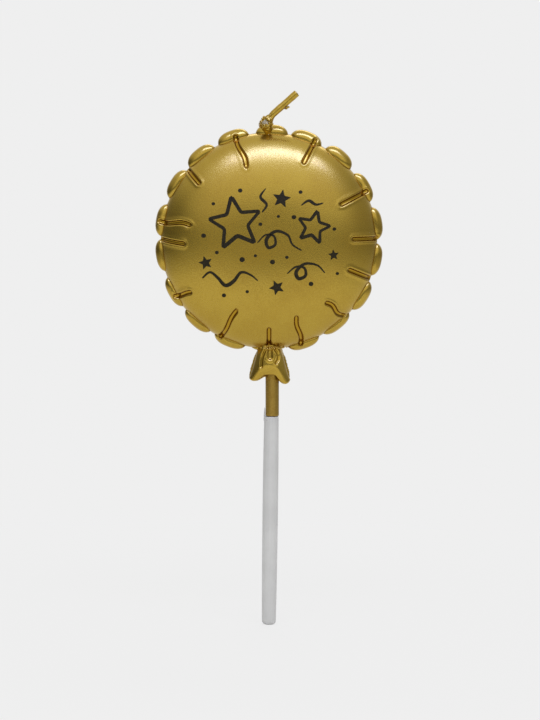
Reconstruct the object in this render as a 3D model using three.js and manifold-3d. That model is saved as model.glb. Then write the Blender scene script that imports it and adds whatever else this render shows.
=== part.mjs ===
// A cake candle in the shape of a round foil balloon. The balloon and its tied neck are wax under
// gold lacquer, the wick stands in a gold wax coat of its own, and a plastic stem set in the wax
// plugs into a white stick. Millimetres, +Z up, the printed front faces -Y. The origin is the
// centre of the flat on the stick's tip.

import * as THREE from "three";
import { mergeVertices } from "three/addons/utils/BufferGeometryUtils.js";
import Module from "manifold-3d";

const wasm = await Module();
wasm.setup();

// White stick
const STICK_LENGTH = 54.7;
const STICK_RIM_DIAMETER = 3.75;
const STICK_BELLY_DIAMETER = 4.05;
const STICK_BELLY_HEIGHT = 31;
const STICK_TIP_DIAMETER = 3.65;
const STICK_TIP_ROUNDING = 1;
const SOCKET_FLOOR_GAP = 1; // below the end of the spigot
const SLIVER_WIDTH = 1.3; // the moulding flash that stands on the rim
const SLIVER_THICKNESS = 0.45;
const SLIVER_RISE = 2.2;
const SLIVER_ROOT = 1.2;
const SLIVER_GAP = 0.15; // to the stem behind it

// Gold stem
const STEM_DIAMETER = 3.5;
const STEM_SHOWS = 10.9; // from the stick's rim to the arch of the neck
const STEM_IN_WAX = 12;
const SPIGOT_DIAMETER = 1.7;
const SPIGOT_LENGTH = 13;
const SPIGOT_CHAMFER = 0.4;
const SPIGOT_PLAY = 0.45; // round the spigot in its socket
const KEY_RING_COUNT = 3; // grooves that the wax grips
const KEY_RING_PITCH = 3.2;
const KEY_RING_WIDTH = 1.2;
const KEY_RING_DEPTH = 0.3;

// How the head sits on the stick, which is plugged in by hand
const HEAD_LEAN = 0.72; // degrees, the top towards -X
const HEAD_ASIDE = 0.2; // stem's axis from the stick's at the rim, towards +X
const SHOULDER_GAP = 0.15;
const CAST_GAP = 0.15; // wax round what is cast into it

// Wax balloon
const BALLOON_ASIDE = 0.83; // centre from the stem's axis, towards -X
const PILLOW_RADIUS = 28.4;
const PILLOW_DEPTH = 9.5; // mid plane to crown, on each side
const PILLOW_POWER = 2.5; // above 2 flattens the crown
const LOBE_COUNT = 18;
const FIRST_LOBE = 9; // degrees from +X
const LOBE_REACH = 1.6; // lobe tip beyond the pillow
const LOBE_DEPTH = 2.2; // mid plane to the lobe's crown, on each side
const LOBE_SPREAD = 0.88; // share of the pitch that a lobe fills
const NOTCH_REACH = 0.15; // seam beyond the pillow between two lobes
const NOTCH_DEPTH = 1;
const VALLEY_LEVEL = 0.55; // height of the valley inside a lobe, over the lobe's own
const NECK_LOBE = 13; // the lobe that the neck gathers in
const NECK_LOBE_FULLNESS = 0.2;

// Creases pressed into both faces. "at" is the angle of the outer end in degrees, "turn" how far
// the inner end is turned from it, "length" runs inwards from the pillow's edge, and "sway" is
// the swing of the S-bend.
const CREASE_WIDTH = 1.35;
const CREASE_DEPTH = 0.7;
const CREASE_START = 0.3; // beyond the pillow's edge
const CREASES = [
  { at: 1, turn: -1, length: 6.5, sway: 0 },
  { at: 26.5, turn: 1, length: 7.3, sway: 0 },
  { at: 65, turn: 1, length: 6.5, sway: 0 },
  { at: 108, turn: 0, length: 8.7, sway: 0.35 },
  { at: 139, turn: 2, length: 5.1, sway: 0 },
  { at: 170.5, turn: -1.5, length: 7.4, sway: 0.3 },
  { at: 180.5, turn: 2, length: 6.2, sway: 0 },
  { at: 211, turn: 2, length: 3.9, sway: 0 },
  { at: 242.5, turn: 2.3, length: 8.3, sway: 0.15 },
  { at: 270, turn: 0, length: 5.4, sway: 0 },
  { at: 287, turn: 2.8, length: 7.1, sway: 0.15 },
  { at: 314.5, turn: -1, length: 6.7, sway: -0.4 },
  { at: 339, turn: 1, length: 6.2, sway: 0 },
];

// Wax neck: a gathered, flared skirt with a foot at each side
const NECK_ASIDE = 0.65; // centre from the stem's axis, towards -X
const NECK_HEIGHT = 6.65; // from its arch to the foot of the balloon
const NECK_LAP = 1.25; // how far it reaches up over the balloon's seam
const NECK_TOP_WIDTH = 6.6;
const NECK_HEM_WIDTH = 10.6;
const NECK_TOP_DEPTH = 6.4;
const NECK_BELLY_DEPTH = 7.6;
const NECK_HEM_DEPTH = 6.6;
const NECK_BELLY_LEVEL = 0.62; // share of the way down
const NECK_WALL = 1;
const NECK_RECESS = 2.2;
const NECK_LEFT_FOOT = 1.5; // below the arch
const NECK_RIGHT_FOOT = 2.3;
const FOOT_START = 0.25; // where a foot starts and ends, over the half width
const FOOT_END = 1.03;
const PLEAT_COUNT = 9;
const PLEAT_DEPTH = 0.4;
const WELD_GAP = 0.3; // between the wax neck, or the wick's collar, and the balloon

// Wick, its coat, and the collar of coat that broke off round its root
const WICK_DIAMETER = 1;
const WICK_ASIDE = 1.3; // root from the stem's axis, towards -X
const WICK_FORWARD = 3.6; // in front of the mid plane
const WICK_IN_WAX = 40;
const WICK_RISE = 5.2; // from the wax to the bend
const WICK_BEND_ASIDE = 0.45;
const WICK_BEND_ROUNDING = 1.3;
const WICK_END_REACH = 6.8; // from the bend to the tip, sideways and up
const WICK_END_RISE = 6;
const COAT_DIAMETER = 1.8;
const COAT_GAP = 0.1;
const COAT_CAP = 0.35; // thickness over the wick's end
const COLLAR_DIAMETER = 2.1;
const COLLAR_LIP_DIAMETER = 2.7;
const COLLAR_HEIGHT = 2.7; // top of the collar above the wax
const COLLAR_BELOW = 1.5; // how far it is drawn down before the wax cuts it
const CRACK = 0.8; // bare wick between the collar and the coat

// How finely the round shapes are cut
const LOBE_STEPS = 6;
const LOBE_RINGS = 4;
const PILLOW_RINGS = 8;
const NECK_STEPS = 36;
const NECK_RINGS = 8;
const TURNED_STEPS = 24;
const TIP_STEPS = 4;
const STICK_RINGS = 8;
const WICK_SIDES = 8;
const BEND_STEPS = 4;
const CREASE_SIDES = 6;
const CREASE_STEPS = 6;
const OVERRUN = 1; // how far a cutter runs past the face it opens

const { lerp, degToRad, euclideanModulo } = THREE.MathUtils;

function finish(color, roughness, metalness) {
  return new THREE.MeshStandardMaterial({ color, roughness, metalness });
}

// Turns a closed geometry into a solid that can be cut and joined.
function solidOf(geometry) {
  const bare = geometry.index ? geometry.toNonIndexed() : geometry.clone();
  bare.deleteAttribute("normal");
  bare.deleteAttribute("uv");
  const merged = mergeVertices(bare, 1e-4);
  return new wasm.Manifold(
    new wasm.Mesh({
      numProp: 3,
      vertProperties: new Float32Array(merged.attributes.position.array),
      triVerts: new Uint32Array(merged.index.array),
    }),
  );
}

// Turns a solid back into a geometry.
function geometryOf(solid) {
  const mesh = solid.getMesh();
  const geometry = new THREE.BufferGeometry();
  geometry.setAttribute("position", new THREE.BufferAttribute(mesh.vertProperties, 3));
  geometry.setIndex(new THREE.BufferAttribute(mesh.triVerts, 1));
  geometry.computeVertexNormals();
  return geometry;
}

function named(name, geometry, material) {
  const mesh = new THREE.Mesh(geometry, material);
  mesh.name = name;
  return mesh;
}

// Turns a profile of [radius, height] points round the Z axis.
function turned(profile) {
  const points = profile.map(([radius, height]) => new THREE.Vector2(radius, height));
  return new THREE.LatheGeometry(points, TURNED_STEPS).rotateX(Math.PI / 2);
}

function cylinder(diameter, bottom, top) {
  return turned([[0, bottom], [diameter / 2, bottom], [diameter / 2, top], [0, top]]);
}

// Closes a stack of rings, each a loop of as many points, with a pole at either end.
function skinned(startPole, rings, endPole) {
  const count = rings[0].length;
  const points = [startPole, ...rings.flat(), endPole];
  const at = (ring, step) => 1 + ring * count + (step % count);
  const last = rings.length - 1;
  const faces = [];
  for (let step = 0; step < count; step += 1) {
    faces.push(0, at(0, step), at(0, step + 1));
    faces.push(points.length - 1, at(last, step + 1), at(last, step));
    for (let ring = 0; ring < last; ring += 1) {
      faces.push(at(ring, step), at(ring + 1, step), at(ring + 1, step + 1));
      faces.push(at(ring, step), at(ring + 1, step + 1), at(ring, step + 1));
    }
  }
  const geometry = new THREE.BufferGeometry().setFromPoints(points);
  geometry.setIndex(faces);
  return geometry;
}

// A round bar through a list of points. "across" is a direction square to the whole route.
function bar(points, across, diameter, sides) {
  const rings = points.map((point, index) => {
    const before = points[Math.max(0, index - 1)];
    const after = points[Math.min(points.length - 1, index + 1)];
    const along = after.clone().sub(before).normalize();
    const out = across.clone().cross(along).normalize();
    const side = along.clone().cross(out);
    return Array.from({ length: sides }, (_, step) => {
      const angle = (step / sides) * 2 * Math.PI;
      return point
        .clone()
        .addScaledVector(side, (diameter / 2) * Math.cos(angle))
        .addScaledVector(out, (diameter / 2) * Math.sin(angle));
    });
  });
  return skinned(points[0], rings, points.at(-1));
}

// White stick: a barrel with a rounded, flat-ended tip and a blind socket in its top

const socketDiameter = SPIGOT_DIAMETER + 2 * SPIGOT_PLAY;
const socketFloor = STICK_LENGTH - SPIGOT_LENGTH - SOCKET_FLOOR_GAP;

function stickRadius(height) {
  const upper = height > STICK_BELLY_HEIGHT;
  const end = upper ? STICK_RIM_DIAMETER : STICK_TIP_DIAMETER;
  const reach = upper ? STICK_LENGTH - STICK_BELLY_HEIGHT : STICK_BELLY_HEIGHT;
  const away = (height - STICK_BELLY_HEIGHT) / reach;
  return lerp(STICK_BELLY_DIAMETER, end, away * away) / 2;
}

function stickBarrel() {
  const profile = [[0, 0]];
  for (let step = 0; step <= TIP_STEPS; step += 1) {
    const angle = (step / TIP_STEPS) * (Math.PI / 2);
    const height = STICK_TIP_ROUNDING * (1 - Math.cos(angle));
    profile.push([stickRadius(height) - STICK_TIP_ROUNDING * (1 - Math.sin(angle)), height]);
  }
  for (let ring = 1; ring <= STICK_RINGS; ring += 1) {
    const height = lerp(STICK_TIP_ROUNDING, STICK_LENGTH, ring / STICK_RINGS);
    profile.push([stickRadius(height), height]);
  }
  profile.push([socketDiameter / 2, STICK_LENGTH]);
  profile.push([socketDiameter / 2, socketFloor]);
  profile.push([0, socketFloor]);
  return solidOf(turned(profile));
}

// The sliver stands clear of the stem, on a root that laps the rim from outside.
function sliver() {
  const wall = (STICK_RIM_DIAMETER - socketDiameter) / 2;
  const inner = STEM_DIAMETER / 2 - HEAD_ASIDE + SLIVER_GAP;
  const rootInner = STICK_RIM_DIAMETER / 2 - wall / 2;
  const outer = Math.max(inner, rootInner) + SLIVER_THICKNESS;
  const blade = new THREE.BoxGeometry(outer - inner, SLIVER_WIDTH, SLIVER_RISE + SLIVER_ROOT);
  blade.translate(-(outer + inner) / 2, 0, STICK_LENGTH + (SLIVER_RISE - SLIVER_ROOT) / 2);
  const root = new THREE.BoxGeometry(outer - rootInner, SLIVER_WIDTH, SLIVER_ROOT);
  root.translate(-(outer + rootInner) / 2, 0, STICK_LENGTH - SLIVER_ROOT / 2);
  return solidOf(blade).add(solidOf(root));
}

function stick() {
  const body = stickBarrel().add(sliver());
  return named("stick", geometryOf(body), finish(0xe9e9e6, 0.38, 0));
}

// From here on, shapes are in the head's frame: the stem's axis is Z, and heights are above the
// stick's rim.

const neckArch = STEM_SHOWS;
const balloonFoot = neckArch + NECK_HEIGHT;
const balloonHeight = balloonFoot + NOTCH_REACH + PILLOW_RADIUS;
const stemTop = balloonFoot + STEM_IN_WAX;

// Gold stem: the spigot hangs below a shoulder, and the grooves at the top are cast into the wax

function stem() {
  const outer = STEM_DIAMETER / 2;
  const spigot = SPIGOT_DIAMETER / 2;
  const profile = [
    [0, -SPIGOT_LENGTH],
    [spigot - SPIGOT_CHAMFER, -SPIGOT_LENGTH],
    [spigot, -SPIGOT_LENGTH + SPIGOT_CHAMFER],
    [spigot, SHOULDER_GAP],
    [outer, SHOULDER_GAP],
  ];
  for (let ring = KEY_RING_COUNT; ring > 0; ring -= 1) {
    const middle = stemTop - ring * KEY_RING_PITCH;
    profile.push([outer, middle - KEY_RING_WIDTH / 2]);
    profile.push([outer - KEY_RING_DEPTH, middle - KEY_RING_WIDTH / 2]);
    profile.push([outer - KEY_RING_DEPTH, middle + KEY_RING_WIDTH / 2]);
    profile.push([outer, middle + KEY_RING_WIDTH / 2]);
  }
  profile.push([outer, stemTop], [0, stemTop]);
  return named("stem", turned(profile), finish(0x9c7a34, 0.5, 0.8));
}

function stemBore() {
  return solidOf(cylinder(STEM_DIAMETER + 2 * CAST_GAP, -OVERRUN, stemTop + CAST_GAP));
}

// Wax balloon: a pillow with puckered lobes round its seam

// How full the seam is at an angle: 0 in a notch, 1 across a lobe.
function fullness(degrees) {
  const phase = ((degrees - FIRST_LOBE) * LOBE_COUNT) / 360;
  const lobe = Math.round(phase);
  const across = Math.min(1, (2 * Math.abs(phase - lobe)) / LOBE_SPREAD);
  const gathered = euclideanModulo(lobe, LOBE_COUNT) === NECK_LOBE;
  return (gathered ? NECK_LOBE_FULLNESS : 1) * Math.sqrt(1 - across ** 3);
}

function pillowRadius(depth) {
  return PILLOW_RADIUS * (1 - (depth / PILLOW_DEPTH) ** 2) ** (1 / PILLOW_POWER);
}

function pillowDepth(radius) {
  return PILLOW_DEPTH * Math.sqrt(Math.max(0, 1 - (radius / PILLOW_RADIUS) ** PILLOW_POWER));
}

// The lobe's section at an angle: its tip radius, its depth at the crown, and its half length.
function lobeAt(degrees) {
  const full = fullness(degrees);
  const tip = PILLOW_RADIUS + lerp(NOTCH_REACH, LOBE_REACH, full);
  const depth = lerp(NOTCH_DEPTH, LOBE_DEPTH, full);
  const valleyAngle = Math.PI - Math.asin(VALLEY_LEVEL);
  const half = (tip - pillowRadius(VALLEY_LEVEL * depth)) / (1 - Math.cos(valleyAngle));
  return { tip, depth, half, valleyAngle };
}

// Half of the section at an angle: from the seam over the lobe into the valley, then up the pillow.
function halfSection(degrees) {
  const lobe = lobeAt(degrees);
  const points = [];
  for (let ring = 0; ring <= LOBE_RINGS; ring += 1) {
    const angle = (ring / LOBE_RINGS) * lobe.valleyAngle;
    points.push([lobe.tip - lobe.half * (1 - Math.cos(angle)), lobe.depth * Math.sin(angle)]);
  }
  const start = Math.asin((VALLEY_LEVEL * lobe.depth) / PILLOW_DEPTH);
  for (let ring = 1; ring < PILLOW_RINGS; ring += 1) {
    const depth = PILLOW_DEPTH * Math.sin(lerp(start, Math.PI / 2, ring / PILLOW_RINGS));
    points.push([pillowRadius(depth), depth]);
  }
  return points;
}

function balloonSkin() {
  const steps = LOBE_COUNT * LOBE_STEPS;
  const halves = Array.from({ length: steps }, (_, step) => halfSection((step * 360) / steps));
  const ring = (index, side) =>
    halves.map((half, step) => {
      const [radius, depth] = half[index];
      const angle = (step / steps) * 2 * Math.PI;
      return new THREE.Vector3(radius * Math.cos(angle), side * depth, radius * Math.sin(angle));
    });
  const last = halves[0].length - 1;
  const rings = [];
  for (let index = last; index > 0; index -= 1) rings.push(ring(index, -1));
  for (let index = 0; index <= last; index += 1) rings.push(ring(index, 1));
  const pole = (side) => new THREE.Vector3(0, side * PILLOW_DEPTH, 0);
  return skinned(pole(-1), rings, pole(1));
}

// The depth of the face at a place, whether pillow or lobe.
function faceDepth(radius, degrees) {
  const lobe = lobeAt(degrees);
  const away = Math.min(1, Math.abs(radius - lobe.tip + lobe.half) / lobe.half);
  return Math.max(pillowDepth(radius), lobe.depth * Math.sqrt(1 - away * away));
}

// A crease as a bar that follows the face. The back is the mirror image of the front.
function creaseCutter({ at, turn, length, sway }, side) {
  const radial = degToRad(at + turn / 2);
  const across = new THREE.Vector3(-Math.sin(radial), 0, Math.cos(radial));
  const points = [];
  for (let step = 0; step <= CREASE_STEPS; step += 1) {
    const along = step / CREASE_STEPS;
    const radius = PILLOW_RADIUS + lerp(CREASE_START, -length, along);
    const degrees = at + turn * along;
    const lift = faceDepth(radius, degrees) + CREASE_WIDTH / 2 - CREASE_DEPTH;
    const point = new THREE.Vector3(Math.cos(degToRad(degrees)), 0, Math.sin(degToRad(degrees)));
    point.multiplyScalar(radius).addScaledVector(across, sway * Math.sin(2 * Math.PI * along));
    points.push(point.setY(side * lift));
  }
  return solidOf(bar(points, across, CREASE_WIDTH, CREASE_SIDES));
}

function inHead(geometry) {
  return geometry.translate(-BALLOON_ASIDE, 0, balloonHeight);
}

function balloon() {
  let body = solidOf(balloonSkin());
  for (const side of [-1, 1]) {
    for (const crease of CREASES) body = body.subtract(creaseCutter(crease, side));
  }
  body = solidOf(inHead(geometryOf(body)));
  body = body.subtract(stemBore()).subtract(wickBore());
  return named("balloon", geometryOf(body), finish(0xbd9a3f, 0.34, 1));
}

// The balloon grown by the weld gap, outwards and forwards, which cuts the wax that sits on it.
function balloonSeat() {
  const outwards = 1 + WELD_GAP / PILLOW_RADIUS;
  const forwards = 1 + WELD_GAP / LOBE_DEPTH;
  const wide = solidOf(inHead(balloonSkin().scale(outwards, forwards, outwards)));
  return wide.add(solidOf(inHead(balloonSkin().scale(1, forwards, 1))));
}

// Wax neck

// How far the hem hangs below the arch at a share of the half width, -1 to 1.
function hemDrop(share) {
  const along = (Math.abs(share) - FOOT_START) / (FOOT_END - FOOT_START);
  const foot = share < 0 ? NECK_LEFT_FOOT : NECK_RIGHT_FOOT;
  return foot * Math.sin(Math.PI * Math.max(0, along));
}

// Front to back depth of the skirt: level 0 at the top, 1 at the hem.
function neckDepth(level) {
  if (level < NECK_BELLY_LEVEL) {
    const share = Math.sin((level / NECK_BELLY_LEVEL) * (Math.PI / 2));
    return lerp(NECK_TOP_DEPTH, NECK_BELLY_DEPTH, share);
  }
  const share = (level - NECK_BELLY_LEVEL) / (1 - NECK_BELLY_LEVEL);
  return lerp(NECK_BELLY_DEPTH, NECK_HEM_DEPTH, share * share);
}

function neckRing(level, inset = 0, lift = 0) {
  const halfWidth = lerp(NECK_TOP_WIDTH, NECK_HEM_WIDTH, level) / 2 - inset;
  const halfDepth = neckDepth(level) / 2 - inset;
  const pleat = (PLEAT_DEPTH / NECK_TOP_WIDTH) * Math.max(0, 1 - level / NECK_BELLY_LEVEL);
  return Array.from({ length: NECK_STEPS }, (_, step) => {
    const angle = (step / NECK_STEPS) * 2 * Math.PI;
    const fold = 1 - pleat * (1 + Math.cos(PLEAT_COUNT * angle));
    const hem = neckArch - hemDrop(Math.cos(angle));
    return new THREE.Vector3(
      halfWidth * fold * Math.cos(angle) - NECK_ASIDE,
      halfDepth * fold * Math.sin(angle),
      lerp(balloonFoot + NECK_LAP, hem, level) + lift,
    );
  });
}

function neck() {
  const rings = [];
  for (let ring = 0; ring <= NECK_RINGS; ring += 1) rings.push(neckRing(ring / NECK_RINGS));
  rings.push(neckRing(1, NECK_WALL));
  rings.push(neckRing(1, NECK_WALL, NECK_RECESS));
  const top = new THREE.Vector3(-NECK_ASIDE, 0, balloonFoot + NECK_LAP);
  const roof = new THREE.Vector3(-NECK_ASIDE, 0, neckArch + NECK_RECESS);
  const skirt = solidOf(skinned(top, rings, roof)).subtract(balloonSeat()).subtract(stemBore());
  return named("neck", geometryOf(skirt), finish(0xc09a3c, 0.2, 1));
}

// Wick, coat and collar. The wick leaves the pillow in front of the top lobe.

const wickExit = balloonHeight + Math.sqrt(
  pillowRadius(WICK_FORWARD) ** 2 - (BALLOON_ASIDE - WICK_ASIDE) ** 2,
);
const collarTop = wickExit + COLLAR_HEIGHT;
const coatBottom = collarTop + CRACK;
const wickAcross = new THREE.Vector3(0, 1, 0);

function wickPoint(x, height) {
  return new THREE.Vector3(x, -WICK_FORWARD, height);
}

// The wick's route from a height above the wax, round the bend and to its end, less "short".
function wickRoute(bottom, short) {
  const exit = wickPoint(-WICK_ASIDE, wickExit);
  const bend = wickPoint(-WICK_BEND_ASIDE, wickExit + WICK_RISE);
  const end = bend.clone().add(new THREE.Vector3(WICK_END_REACH, 0, WICK_END_RISE));
  const ahead = end.clone().sub(bend).normalize();
  const start = exit.clone().lerp(bend, (bottom - wickExit) / WICK_RISE);
  const before = bend.clone().sub(exit).setLength(-WICK_BEND_ROUNDING).add(bend);
  const after = bend.clone().addScaledVector(ahead, WICK_BEND_ROUNDING);
  const curve = new THREE.QuadraticBezierCurve3(before, bend, after);
  return [start, ...curve.getPoints(BEND_STEPS), end.addScaledVector(ahead, -short)];
}

function wick() {
  const below = wickPoint(-WICK_ASIDE, wickExit - WICK_IN_WAX);
  const points = [below, ...wickRoute(wickExit, COAT_CAP + COAT_GAP)];
  return named("wick", bar(points, wickAcross, WICK_DIAMETER, WICK_SIDES), finish(0xe2ded2, 0.9, 0));
}

function wickBore() {
  const bottom = wickExit - WICK_IN_WAX - CAST_GAP;
  const bore = cylinder(WICK_DIAMETER + 2 * CAST_GAP, bottom, wickExit + OVERRUN);
  return solidOf(bore.translate(-WICK_ASIDE, -WICK_FORWARD, 0));
}

// The room that the coat and the collar leave round the wick.
function wickRoom() {
  const points = [wickPoint(-WICK_ASIDE, wickExit - COLLAR_BELOW), ...wickRoute(wickExit, COAT_CAP)];
  return solidOf(bar(points, wickAcross, WICK_DIAMETER + 2 * COAT_GAP, WICK_SIDES));
}

function wickCoat() {
  const skin = solidOf(bar(wickRoute(coatBottom, 0), wickAcross, COAT_DIAMETER, WICK_SIDES));
  return named("wick_coat", geometryOf(skin.subtract(wickRoom())), finish(0xb48a35, 0.22, 1));
}

function wickCollar() {
  const narrow = COLLAR_DIAMETER / 2;
  const lip = COLLAR_LIP_DIAMETER / 2;
  const profile = [
    [0, -COLLAR_BELOW],
    [narrow, -COLLAR_BELOW],
    [narrow, COLLAR_HEIGHT / 2],
    [lip, COLLAR_HEIGHT / 2 + lip - narrow],
    [lip, COLLAR_HEIGHT],
    [0, COLLAR_HEIGHT],
  ];
  const collar = solidOf(turned(profile).translate(-WICK_ASIDE, -WICK_FORWARD, wickExit));
  const cut = collar.subtract(balloonSeat()).subtract(wickRoom());
  return named("wick_collar", geometryOf(cut), finish(0xb48a35, 0.22, 1));
}

// The whole candle

const head = new THREE.Group();
head.position.set(HEAD_ASIDE, 0, STICK_LENGTH);
head.rotation.y = -degToRad(HEAD_LEAN);
head.add(stem(), balloon(), neck(), wick(), wickCoat(), wickCollar());

const candle = new THREE.Group();
candle.add(stick(), head);

export default candle;
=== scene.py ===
"""A birthday cake candle shaped like a round foil balloon: its looks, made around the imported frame."""
import math
import random

import bpy
import numpy as np
from mathutils import Matrix, Vector, noise


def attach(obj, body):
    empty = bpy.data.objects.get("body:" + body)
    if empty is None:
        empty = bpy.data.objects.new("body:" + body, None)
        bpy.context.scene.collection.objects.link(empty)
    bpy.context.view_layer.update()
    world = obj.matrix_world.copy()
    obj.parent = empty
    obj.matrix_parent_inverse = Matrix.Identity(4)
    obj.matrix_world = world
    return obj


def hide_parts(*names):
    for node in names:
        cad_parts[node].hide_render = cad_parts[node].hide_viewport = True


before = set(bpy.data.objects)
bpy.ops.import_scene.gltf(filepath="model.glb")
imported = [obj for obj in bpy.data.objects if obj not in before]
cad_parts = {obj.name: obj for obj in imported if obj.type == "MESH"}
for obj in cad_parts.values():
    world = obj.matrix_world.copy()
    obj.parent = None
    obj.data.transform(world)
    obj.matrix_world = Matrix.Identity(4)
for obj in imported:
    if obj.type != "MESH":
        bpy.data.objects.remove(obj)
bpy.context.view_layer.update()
MM = 0.001  # sizes are in millimetres, which Blender holds as metres

# Camera
# A long lens a little above the candle, square to the balloon's face. The photograph shows the head
# upright and the stick leaning, so the camera is rolled by the angle between the two.
PHOTO_WIDTH, PHOTO_HEIGHT = 540, 720
PIXEL = 0.26 * MM  # what one pixel of the photograph covers on the candle
TIP_PIXEL = (268.8, 627)  # where the photograph shows the stick's tip
CAMERA_DISTANCE = 900 * MM
CAMERA_RISE = math.radians(5)
SENSOR = 36
HEAD_LEAN = math.radians(0.72)


def new_object(name, data):
    """Puts an object with this data in the scene, at the origin."""
    made = bpy.data.objects.new(name, data)
    bpy.context.scene.collection.objects.link(made)
    return made


middle = Vector(((PHOTO_WIDTH / 2 - TIP_PIXEL[0]) * PIXEL, 0, (TIP_PIXEL[1] - PHOTO_HEIGHT / 2) * PIXEL))
lean = Matrix.Rotation(-HEAD_LEAN, 4, "Y")
camera = new_object("camera", bpy.data.cameras.new("camera"))
camera.data.sensor_width = SENSOR
camera.data.lens = SENSOR * CAMERA_DISTANCE / (PHOTO_HEIGHT * PIXEL)
camera.matrix_world = (
    Matrix.Translation(lean @ middle)
    @ lean
    @ Matrix.Rotation(math.radians(90) - CAMERA_RISE, 4, "X")
    @ Matrix.Translation((0, 0, CAMERA_DISTANCE))
)
bpy.context.scene.camera = camera

# Stick
# A slim white injection-moulded stick, hollow at the top to take the stem's spigot and rounded at the
# tip that goes into the cake. A sliver of moulding flash stands up at the left of its rim.
STICK_LENGTH = 54.7
STICK_RIM_D = 3.75
STICK_BELLY_D = 4.05
STICK_BELLY_HEIGHT = 31
STICK_TIP_D = 3.65
STICK_TIP_ROUNDING = 1
STICK_WALL = 0.57
STICK_RIM_ROUNDING = 0.12
SOCKET_DEPTH = 14
SOCKET_FILLET = 0.2
SLIVER_SIZE = (0.45, 1.3, 2.2)  # thickness, width and height above the rim
SLIVER_ROOT = 1.2
SLIVER_RINGS, SLIVER_SIDES = 8, 12
SLIVER_SQUARENESS = 0.6
SLIVER_SLANT = 0.25
ROUND_SIDES = 72
STICK_COLOUR = (0.66, 0.66, 0.655, 1)
STICK_SHADE = (0.58, 0.58, 0.575, 1)
STICK_SPECK = (0.3, 0.3, 0.29, 1)
STICK_ROUGHNESS = 0.3
STICK_BUMPS = 0.012
FLOW_LINES = 2600.0  # the noise scale of the lines that the plastic left as it flowed down the mould
FLOW_STRETCH = (1, 1, 0.02)
GRAIN_TURN = (0.7, 0.4, 0.3)  # turns the noise off the axes, so that a flat face doesn't slice it evenly
SPECK_GAPS_EMPTY = 0.86  # the share of the places for a speck that stay bare
SPECK_EDGE = (0.02, 0.035)


class Value:
    """A number, vector or geometry that a node tree works out. Sums written in Python become its nodes."""

    def __init__(self, tree, socket):
        self.tree, self.socket = tree, socket

    def work(self, operation, *others):
        return node(self.tree, "ShaderNodeMath", dict(enumerate((self, *others))), operation=operation)

    def __add__(self, other):
        return self.work("ADD", other)

    def __sub__(self, other):
        return self.work("SUBTRACT", other)

    def __rsub__(self, other):
        return node(self.tree, "ShaderNodeMath", {0: other, 1: self}, operation="SUBTRACT")

    def __mul__(self, other):
        return self.work("MULTIPLY", other)

    def __truediv__(self, other):
        return self.work("DIVIDE", other)

    def __rtruediv__(self, other):
        return node(self.tree, "ShaderNodeMath", {0: other, 1: self}, operation="DIVIDE")

    def __pow__(self, other):
        return self.work("POWER", other)

    __radd__, __rmul__ = __add__, __mul__

    def ramp(self, low, high, first=0, last=1, smooth=True):
        """Goes from first to last while the value goes from low to high."""
        shape = "SMOOTHSTEP" if smooth else "LINEAR"
        wires = dict(enumerate((self, low, high, first, last)))
        return node(self.tree, "ShaderNodeMapRange", wires, interpolation_type=shape)


def plug(tree, value, socket):
    """Joins a worked-out value to a socket, or sets the socket to a plain value."""
    if isinstance(value, Value):
        tree.links.new(value.socket, socket)
    else:
        socket.default_value = value


def node(tree, kind, wires=(), output=0, **settings):
    """Adds a node, joins its inputs by their place or name, and gives back one of its outputs."""
    made = tree.nodes.new(kind)
    for name, setting in settings.items():
        setattr(made, name, setting)
    for place, value in dict(wires).items():
        plug(tree, value, made.inputs[place])
    return Value(tree, made.outputs[output]) if made.outputs else None


def new_rule(name, kind, inputs, outputs):
    """Starts a node group, and gives back it and its inputs. Inputs and outputs are listed by their kind."""
    tree = bpy.data.node_groups.new(name, kind)
    for direction, kinds in (("INPUT", inputs), ("OUTPUT", outputs)):
        for socket_kind, labels in kinds.items():
            for label in labels:
                tree.interface.new_socket(label, in_out=direction, socket_type="NodeSocket" + socket_kind)
    start = tree.nodes.new("NodeGroupInput")
    count = sum(len(labels) for labels in inputs.values())
    return tree, [Value(tree, start.outputs[place]) for place in range(count)]


def end_rule(tree, *results):
    """Joins the results of a node group to its outputs."""
    end = tree.nodes.new("NodeGroupOutput")
    for place, result in enumerate(results):
        plug(tree, result, end.inputs[place])
    return tree


def mixed(tree, share, first, last):
    """A colour between two, by a share from 0 to 1."""
    return node(tree, "ShaderNodeMix", {0: share, 6: first, 7: last}, 2, data_type="RGBA", clamp_factor=True)


def grown_speckle():
    """A node group for the grain of a moulded or lacquered skin: soft clouds, fine grain and rare specks."""
    tree, (cloud_size, grain_size, speck_gap) = new_rule(
        "speckle", "ShaderNodeTree",
        {"Float": ["Cloud Size", "Grain Size", "Speck Gap"]}, {"Float": ["Cloud", "Grain", "Speck"]})
    place = node(tree, "ShaderNodeTexCoord", output=3)
    place = node(tree, "ShaderNodeMapping", {0: place, 2: GRAIN_TURN})
    cloud = node(tree, "ShaderNodeTexNoise", {0: place, 2: 1 / cloud_size, 3: 3.0, 4: 0.6})
    grain = node(tree, "ShaderNodeTexNoise", {0: place, 2: 1 / grain_size, 3: 0.0, 4: 0.5})
    wires = {0: place, 2: 1 / speck_gap}
    spot = node(tree, "ShaderNodeTexVoronoi", wires)
    pick = node(tree, "ShaderNodeTexVoronoi", wires, 1)
    chosen = node(tree, "ShaderNodeSeparateColor", {0: pick}).work("GREATER_THAN", SPECK_GAPS_EMPTY)
    speck = spot.ramp(*SPECK_EDGE, 1, 0) * chosen
    return end_rule(tree, cloud.ramp(0.3, 0.7), grain.ramp(0.3, 0.7, smooth=False), speck)


SPECKLE = grown_speckle()


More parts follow.
